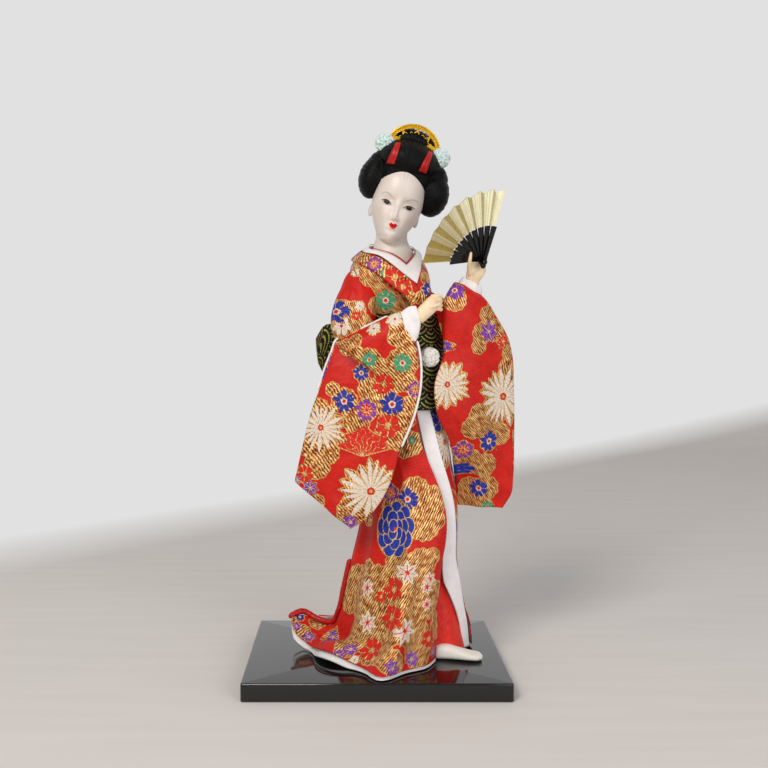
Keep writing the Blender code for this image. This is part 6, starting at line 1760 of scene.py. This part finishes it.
UPPER_MOTIFS = (
    (
        (359.7, 259.9, 12), (375.7, 269.4, 14), (369.3, 279, 10), (382, 288.6, 14),
        (394.8, 306.1, 12), (407.5, 298.1, 9), (375.7, 306, 10), (424, 262, 11), (428, 280, 10),
        (422, 298, 8), (341, 322, 16), (355, 312, 12), (362, 325, 12), (350, 335, 14)),
    (
        ("plum", 374.1, 263.9, 9), ("green", 383.6, 272.6, 4), ("red", 394.8, 277.4, 12),
        ("red", 402.8, 287, 9), ("green", 385.7, 300.5, 11), ("white", 355.7, 272.6, 5),
        ("purple", 417.9, 267, 5), ("blue", 429, 290, 8), ("red", 332.6, 310.9, 9),
        ("white", 341.4, 326, 10), ("red", 356.5, 315.7, 5), ("white", 359.7, 306, 5)))
SLEEVE_RIGHT_MOTIFS = (
    (
        (402.8, 328.7, 14), (407.6, 344.6, 12), (394.8, 338.3, 8), (355, 339.9, 8),
        (343.8, 344.6, 8), (356.5, 352.6, 8), (369.3, 359.8, 12), (402.4, 363, 16),
        (383.6, 370.2, 12), (394.8, 379.7, 14), (407.6, 382.9, 10), (344.1, 401.2, 14),
        (378.9, 398.9, 16), (369.3, 389.3, 12), (356.5, 421.2, 14), (404.4, 414.8, 14),
        (398, 437.1, 14), (410.7, 405.2, 10), (332.6, 389.3, 8), (318, 411.6, 14),
        (311.9, 443.5, 16), (327.8, 453, 12), (316.7, 465.8, 14), (318, 500.9, 8), (350, 512, 14),
        (362.9, 516.8, 10), (343.8, 520, 8)),
    (
        ("white", 394.8, 319.1, 8), ("white", 374, 328.7, 7), ("green", 369.3, 359.8, 8),
        ("green", 402.4, 363, 10), ("blue", 361.3, 373, 8), ("red", 383.6, 384.5, 11),
        ("plum", 415.5, 389.3, 8), ("blue", 344.1, 401.2, 11), ("plum", 366.6, 410, 11),
        ("blue", 392.1, 404.4, 12), ("red", 388.4, 426, 12), ("spray", 362.9, 443.5, 20),
        ("mum", 320.7, 427.6, 24), ("mum", 370.9, 491.3, 30, 8), ("red", 304.7, 473.8, 9),
        ("leaf", 297.5, 480, 5), ("leaf", 310.3, 488, 9), ("leaf", 350.2, 521.6, 9)))
SKIRT_MOTIFS = (
    (
        (410.7, 443.5, 13), (404, 451, 8), (415.5, 491.3, 15), (431.5, 500.9, 16),
        (423.5, 523.2, 18), (436.3, 520, 10), (391.6, 507.3, 12), (369.3, 520, 7),
        (363.9, 575.7, 12), (367.7, 566.1, 8), (360.1, 598.6, 12), (421.3, 564.2, 16),
        (432.8, 556.5, 9), (411.7, 587.1, 18), (388.8, 571.8, 8), (425.1, 602.4, 18),
        (383, 602.4, 14), (371.6, 625.4, 18), (394.5, 625.4, 18), (413.7, 633, 18),
        (352.4, 633, 12), (417.5, 652.2, 16), (392.6, 663.7, 14), (371.6, 656, 12), (358, 584, 20),
        (362, 610, 20), (352, 640, 17), (376, 578, 14), (350, 600, 14), (398, 560, 14),
        (436, 625, 14), (402, 606, 16), (385, 642, 16), (436, 592, 12), (345, 648, 12),
        (318, 622, 10), (302.7, 631.1, 9), (293.1, 621.6, 6), (330, 640, 10)),
    (
        ("leaf", 309, 637, 8), ("blue", 300, 617, 5), ("leaf", 338, 655, 8),
        ("green", 412, 440.3, 4.5), ("red", 410.7, 421.2, 5), ("blue", 407.6, 499.3, 11),
        ("plum", 390.5, 492.9, 9), ("peony", 395.6, 529.6, 20), ("maple", 407.5, 572.8, 13),
        ("maple", 366.8, 588.1, 10), ("maple", 367.4, 622.5, 12), ("maple", 405, 631.1, 15),
        ("maple", 429.9, 579.5, 8), ("maple", 427, 587, 8, 30), ("maple", 427, 604.3, 7),
        ("red", 394.5, 589, 12), ("red", 391.7, 617.7, 13), ("red", 429, 638.8, 9),
        ("red", 371.6, 650.3, 12), ("red", 381.1, 596.7, 6), ("leaf", 350.5, 649.3, 9),
        ("leaf", 392.6, 668.4, 9), ("leaf", 411.7, 658.9, 9), ("leaf", 432.8, 652.2, 6),
        ("leaf", 325.7, 614.9, 6), ("leaf", 333.3, 636.9, 8), ("leaf", 297, 626.4, 6),
        ("white", 354.3, 659.8, 5)))
SLEEVE_LEFT_MOTIFS = (
    (
        (454.6, 299, 13), (487.3, 315.7, 10), (492, 307.7, 8), (482.5, 333.2, 12),
        (495.2, 330, 12), (479.3, 346, 9), (508, 346, 7), (508, 352.6, 8), (506.4, 367, 10),
        (509.6, 379.7, 8), (479.3, 414.8, 12), (474.5, 427.6, 14), (492, 427.6, 14),
        (500, 433.9, 12), (468.1, 459.4, 15), (484.1, 465.8, 14), (471.3, 488.1, 14),
        (485.7, 488.1, 14), (461.8, 502.5, 12), (480.9, 505.7, 12), (433, 402, 8)),
    (
        ("purple", 454.6, 290.2, 10), ("leaf", 488.9, 331.6, 12), ("red_leaf", 503.2, 341.2, 9),
        ("mum", 447.4, 384.5, 24), ("mum", 503.2, 396.5, 30, 5), ("plum", 463, 449.9, 11),
        ("blue", 489.2, 441.1, 11), ("blue", 450.6, 467.4, 9), ("blue", 478.5, 488.1, 10),
        ("green", 487.3, 506.5, 7), ("purple", 444.2, 346.2, 6)))

stands_for(board(), "black_lacquer", "board")
stands_for(bodice(), "red_brocade", "bodice")
stands_for(lapel("collar_lapel_right", *LAPEL_RIGHT, 41), "red_brocade", "lapel_right")
stands_for(lapel("collar_lapel_left", *LAPEL_LEFT, 43), "red_brocade", "lapel_left")
stands_for(inner_collar(), "white_silk", "inner_collar")
stands_for(collar_piping(), "red_satin", "collar_piping")
stands_for(obi(), "black_gold_brocade", "obi")
stands_for(obi_loop("bow_loop_right", -1), "black_gold_brocade", "obi_loop_right")
stands_for(obi_loop("bow_loop_left", 1), "black_gold_brocade", "obi_loop_left")
stands_for(obi_knot(), "black_gold_brocade", "obi_knot")
stands_for(obi_tail("bow_tail_right", -1), "black_gold_brocade", "obi_tail_right")
stands_for(obi_tail("bow_tail_left", 1), "black_gold_brocade", "obi_tail_left")
stands_for(sleeve("sleeve_bag_right", SLEEVE_RIGHT, 190, front_dense(216, 80), tucked_wave,
                  SLEEVE_RIGHT_MOTIFS, 9, 51), "red_brocade", "sleeve_right")
stands_for(sleeve("sleeve_bag_left", SLEEVE_LEFT, 190, front_dense(150, 80),
                  sleeve_wave(1.3, 1.5, -0.4, 61), SLEEVE_LEFT_MOTIFS, 9, 53), "red_brocade", "sleeve_left")
stands_for(sleeve("upper_sleeve_right", UPPER_RIGHT, 100, front_dense(80, 40), gathered_wave,
                  UPPER_MOTIFS, 5, 55), "red_brocade", "sleeve_right_upper")
stands_for(sleeve("upper_sleeve_left", UPPER_LEFT, 80, front_dense(60, 36), gathered_wave,
                  (SLEEVE_LEFT_MOTIFS[0][:1], ()), 7, 57), "red_brocade", "sleeve_left_upper")
piping_top, piping_side = edgings()
stands_for(piping_top, "white_silk", "sleeve_edging_top")
stands_for(piping_side, "white_silk", "sleeve_edging_side")
stands_for(cuff("under_cuff_right", CUFF_RIGHT, 71), "white_silk", "cuff_right")
stands_for(cuff("under_cuff_left", CUFF_LEFT, 73), "white_silk", "cuff_left")
stands_for(skirt_front(), "red_brocade", "skirt_front")
stands_for(skirt_lining(), "white_silk", "skirt_lining")
stands_for(skirt_back(), "red_brocade", "skirt_back")
stands_for(edge_band(), "white_silk", "edge_band")
stands_for(hem_roll(), "red_satin", "hem_roll")
stands_for(underskirt(), "red_satin", "underskirt")
stands_for(foot("sock_left", (29.0, -15.5), (57.6, -18.6), 11.0, 7.6), "white_cotton", "foot_left")
stands_for(foot("sock_right", (12.0, -10.0), (2.0, -24.0), 10.5, 8.4), "white_cotton", "foot_right")
stands_for(head(), "painted_resin", "head")
stands_for(wig(), "black_hair", "wig")
stands_for(chignon(), "black_hair", "chignon")
stands_for(comb_scrolls(), "gilt")
stands_for(hair_ribbon("red_ribbon_right", -1), "red_satin", "hair_ribbon_right")
stands_for(hair_ribbon("red_ribbon_left", 1), "red_satin", "hair_ribbon_left")
for side, name, seed in ((-1, "right", 3), (1, "left", 5)):
    place = in_head(np.add(FLOWER_PLACE, (side * FLOWER_SPREAD, 0, 0)))
    stands_for(bloom(f"crepe_flower_{name}", place, FLOWER_RADIUS, CREPE, 7, seed, 0.8, HEAD_TURN),
               "pale_crepe", f"hair_flower_{name}")
stands_for(bloom("sash_flower", OBI_FLOWER_PLACE, OBI_FLOWER_RADIUS, WHITE_CREPE, 5, 7, 0.72,
                 about("z", 12)), "white_silk", "obi_flower")
stands_for(hand_right(), "hand_resin", "hand_right")
stands_for(hand_left(), "hand_resin", "hand_left")
stands_for(fan_leaf(), "gold_foil", "fan_leaf")

# The CAD solids that stay: the comb, the fan's sticks, the wires and the trunk
for finish, nodes in (
        (GILT, ["comb"]), (PADDING, ["body_core"]),
        (GLOSS, ["fan_rivet", "fan_guard_left", "fan_guard_right",
                 *(f"fan_stick_{k}" for k in range(1, STICK_COUNT - 1))]),
        (STEEL, ["arm_wire_left", "arm_wire_right", "leg_wire_left", "leg_wire_right"])):
    for node in nodes:
        for held in bpy.data.objects[node].material_slots:
            held.material = finish


# Floor, light and camera


def studio():
    """A pale desk with a paler wall behind it: the desk ends softly along a slanting line, and past
    that line the camera and reflections see the wall's plain light grey."""
    finish = finish_of("matt_studio_paper", Roughness=0.9)
    place = add(finish, "TexCoord").outputs["Object"]
    brushed = add(finish, "Mapping", Vector=place, Scale=(8.0, 90.0, 1.0))
    fibres = add(finish, "TexNoise", Vector=brushed, Scale=1.0, Detail=2.0)
    drive(finish, Base_Color=mix(finish, fibres, "e4dfdb", "eeeae6"))
    split = add(finish, "SeparateXYZ", Vector=place).outputs
    rise = times(finish, split["Z"], 4.0, split["Y"])
    past = math_of(finish, "SUBTRACT", rise, times(finish, split["X"], 1.05))
    ray = add(finish, "LightPath").outputs
    seen = math_of(finish, "MAXIMUM", ray["Is Camera Ray"], ray["Is Glossy Ray"])
    wall = add(finish, "Emission", Color=linear("e1e1e1"), Strength=1.0)
    paper = finish.node_tree.nodes["Principled BSDF"]
    share = times(finish, spread(finish, past, 0.5, 0.7), seen)
    drive(finish, "Material Output", Surface=add(finish, "MixShader", i0=share, i1=paper, i2=wall))
    turn = np.linspace(0, math.pi / 2, 16)
    y = np.concatenate([[-3.0, -1.0], 1.0 + 0.5 * np.sin(turn), [1.5]])
    z = np.concatenate([[0.0, 0.0], 0.5 - 0.5 * np.cos(turn), [3.0]])
    verts = [(x, b, c) for b, c in zip(y, z) for x in (-4.0, 4.0)]
    mesh = bpy.data.meshes.new("studio_paper")
    mesh.from_pydata(verts, [], [(2 * k, 2 * k + 1, 2 * k + 3, 2 * k + 2) for k in range(len(y) - 1)])
    mesh.materials.append(finish)
    mesh.shade_smooth()
    obj = bpy.data.objects.new("studio_paper", mesh)
    bpy.context.scene.collection.objects.link(obj)


def lamp(name, place, target, size, power, colour):
    """A square soft box at a place, in metres, turned to a target."""
    light = bpy.data.lights.new(name, "AREA")
    light.size = size
    light.energy = power
    light.color = linear(colour)[:3]
    obj = bpy.data.objects.new(name, light)
    way = np.subtract(target, place)
    flat = math.hypot(way[0], way[1])
    obj.location = place
    obj.rotation_euler = (math.pi / 2 + math.atan2(way[2], flat), 0, math.atan2(way[1], way[0]) - math.pi / 2)
    bpy.context.scene.collection.objects.link(obj)


studio()
lamp("key_box", (-0.6, -1.1, 1.1), (0.0, 0.0, 0.17), 0.5, 11.8, "fffaf2")
lamp("fill_box", (0.75, -1.15, 0.45), (0.0, 0.0, 0.15), 0.8, 5.8, "f8f9ff")
world = bpy.data.worlds.new("studio_air")
bpy.context.scene.world = world
world.use_nodes = True
world.node_tree.nodes["Background"].inputs["Color"].default_value = linear("f0f1f2")
world.node_tree.nodes["Background"].inputs["Strength"].default_value = 0.42

lens = bpy.data.cameras.new("front_view")
lens.sensor_width = 36.0
lens.lens = lens.sensor_width * VIEW_REACH / VIEW_WIDTH
lens.shift_x = 0.5 - VIEW_CENTRE[0] / VIEW_WIDTH
lens.shift_y = VIEW_CENTRE[1] / VIEW_WIDTH - 0.5
lens.clip_start = 0.01
camera = bpy.data.objects.new("front_view", lens)
camera.location = (EYE + (0, 0, BOARD_THICKNESS)) * MM
camera.rotation_euler = (math.pi / 2, 0, 0)
bpy.context.scene.collection.objects.link(camera)
bpy.context.scene.camera = camera
bpy.context.scene.view_settings.view_transform = "Standard"
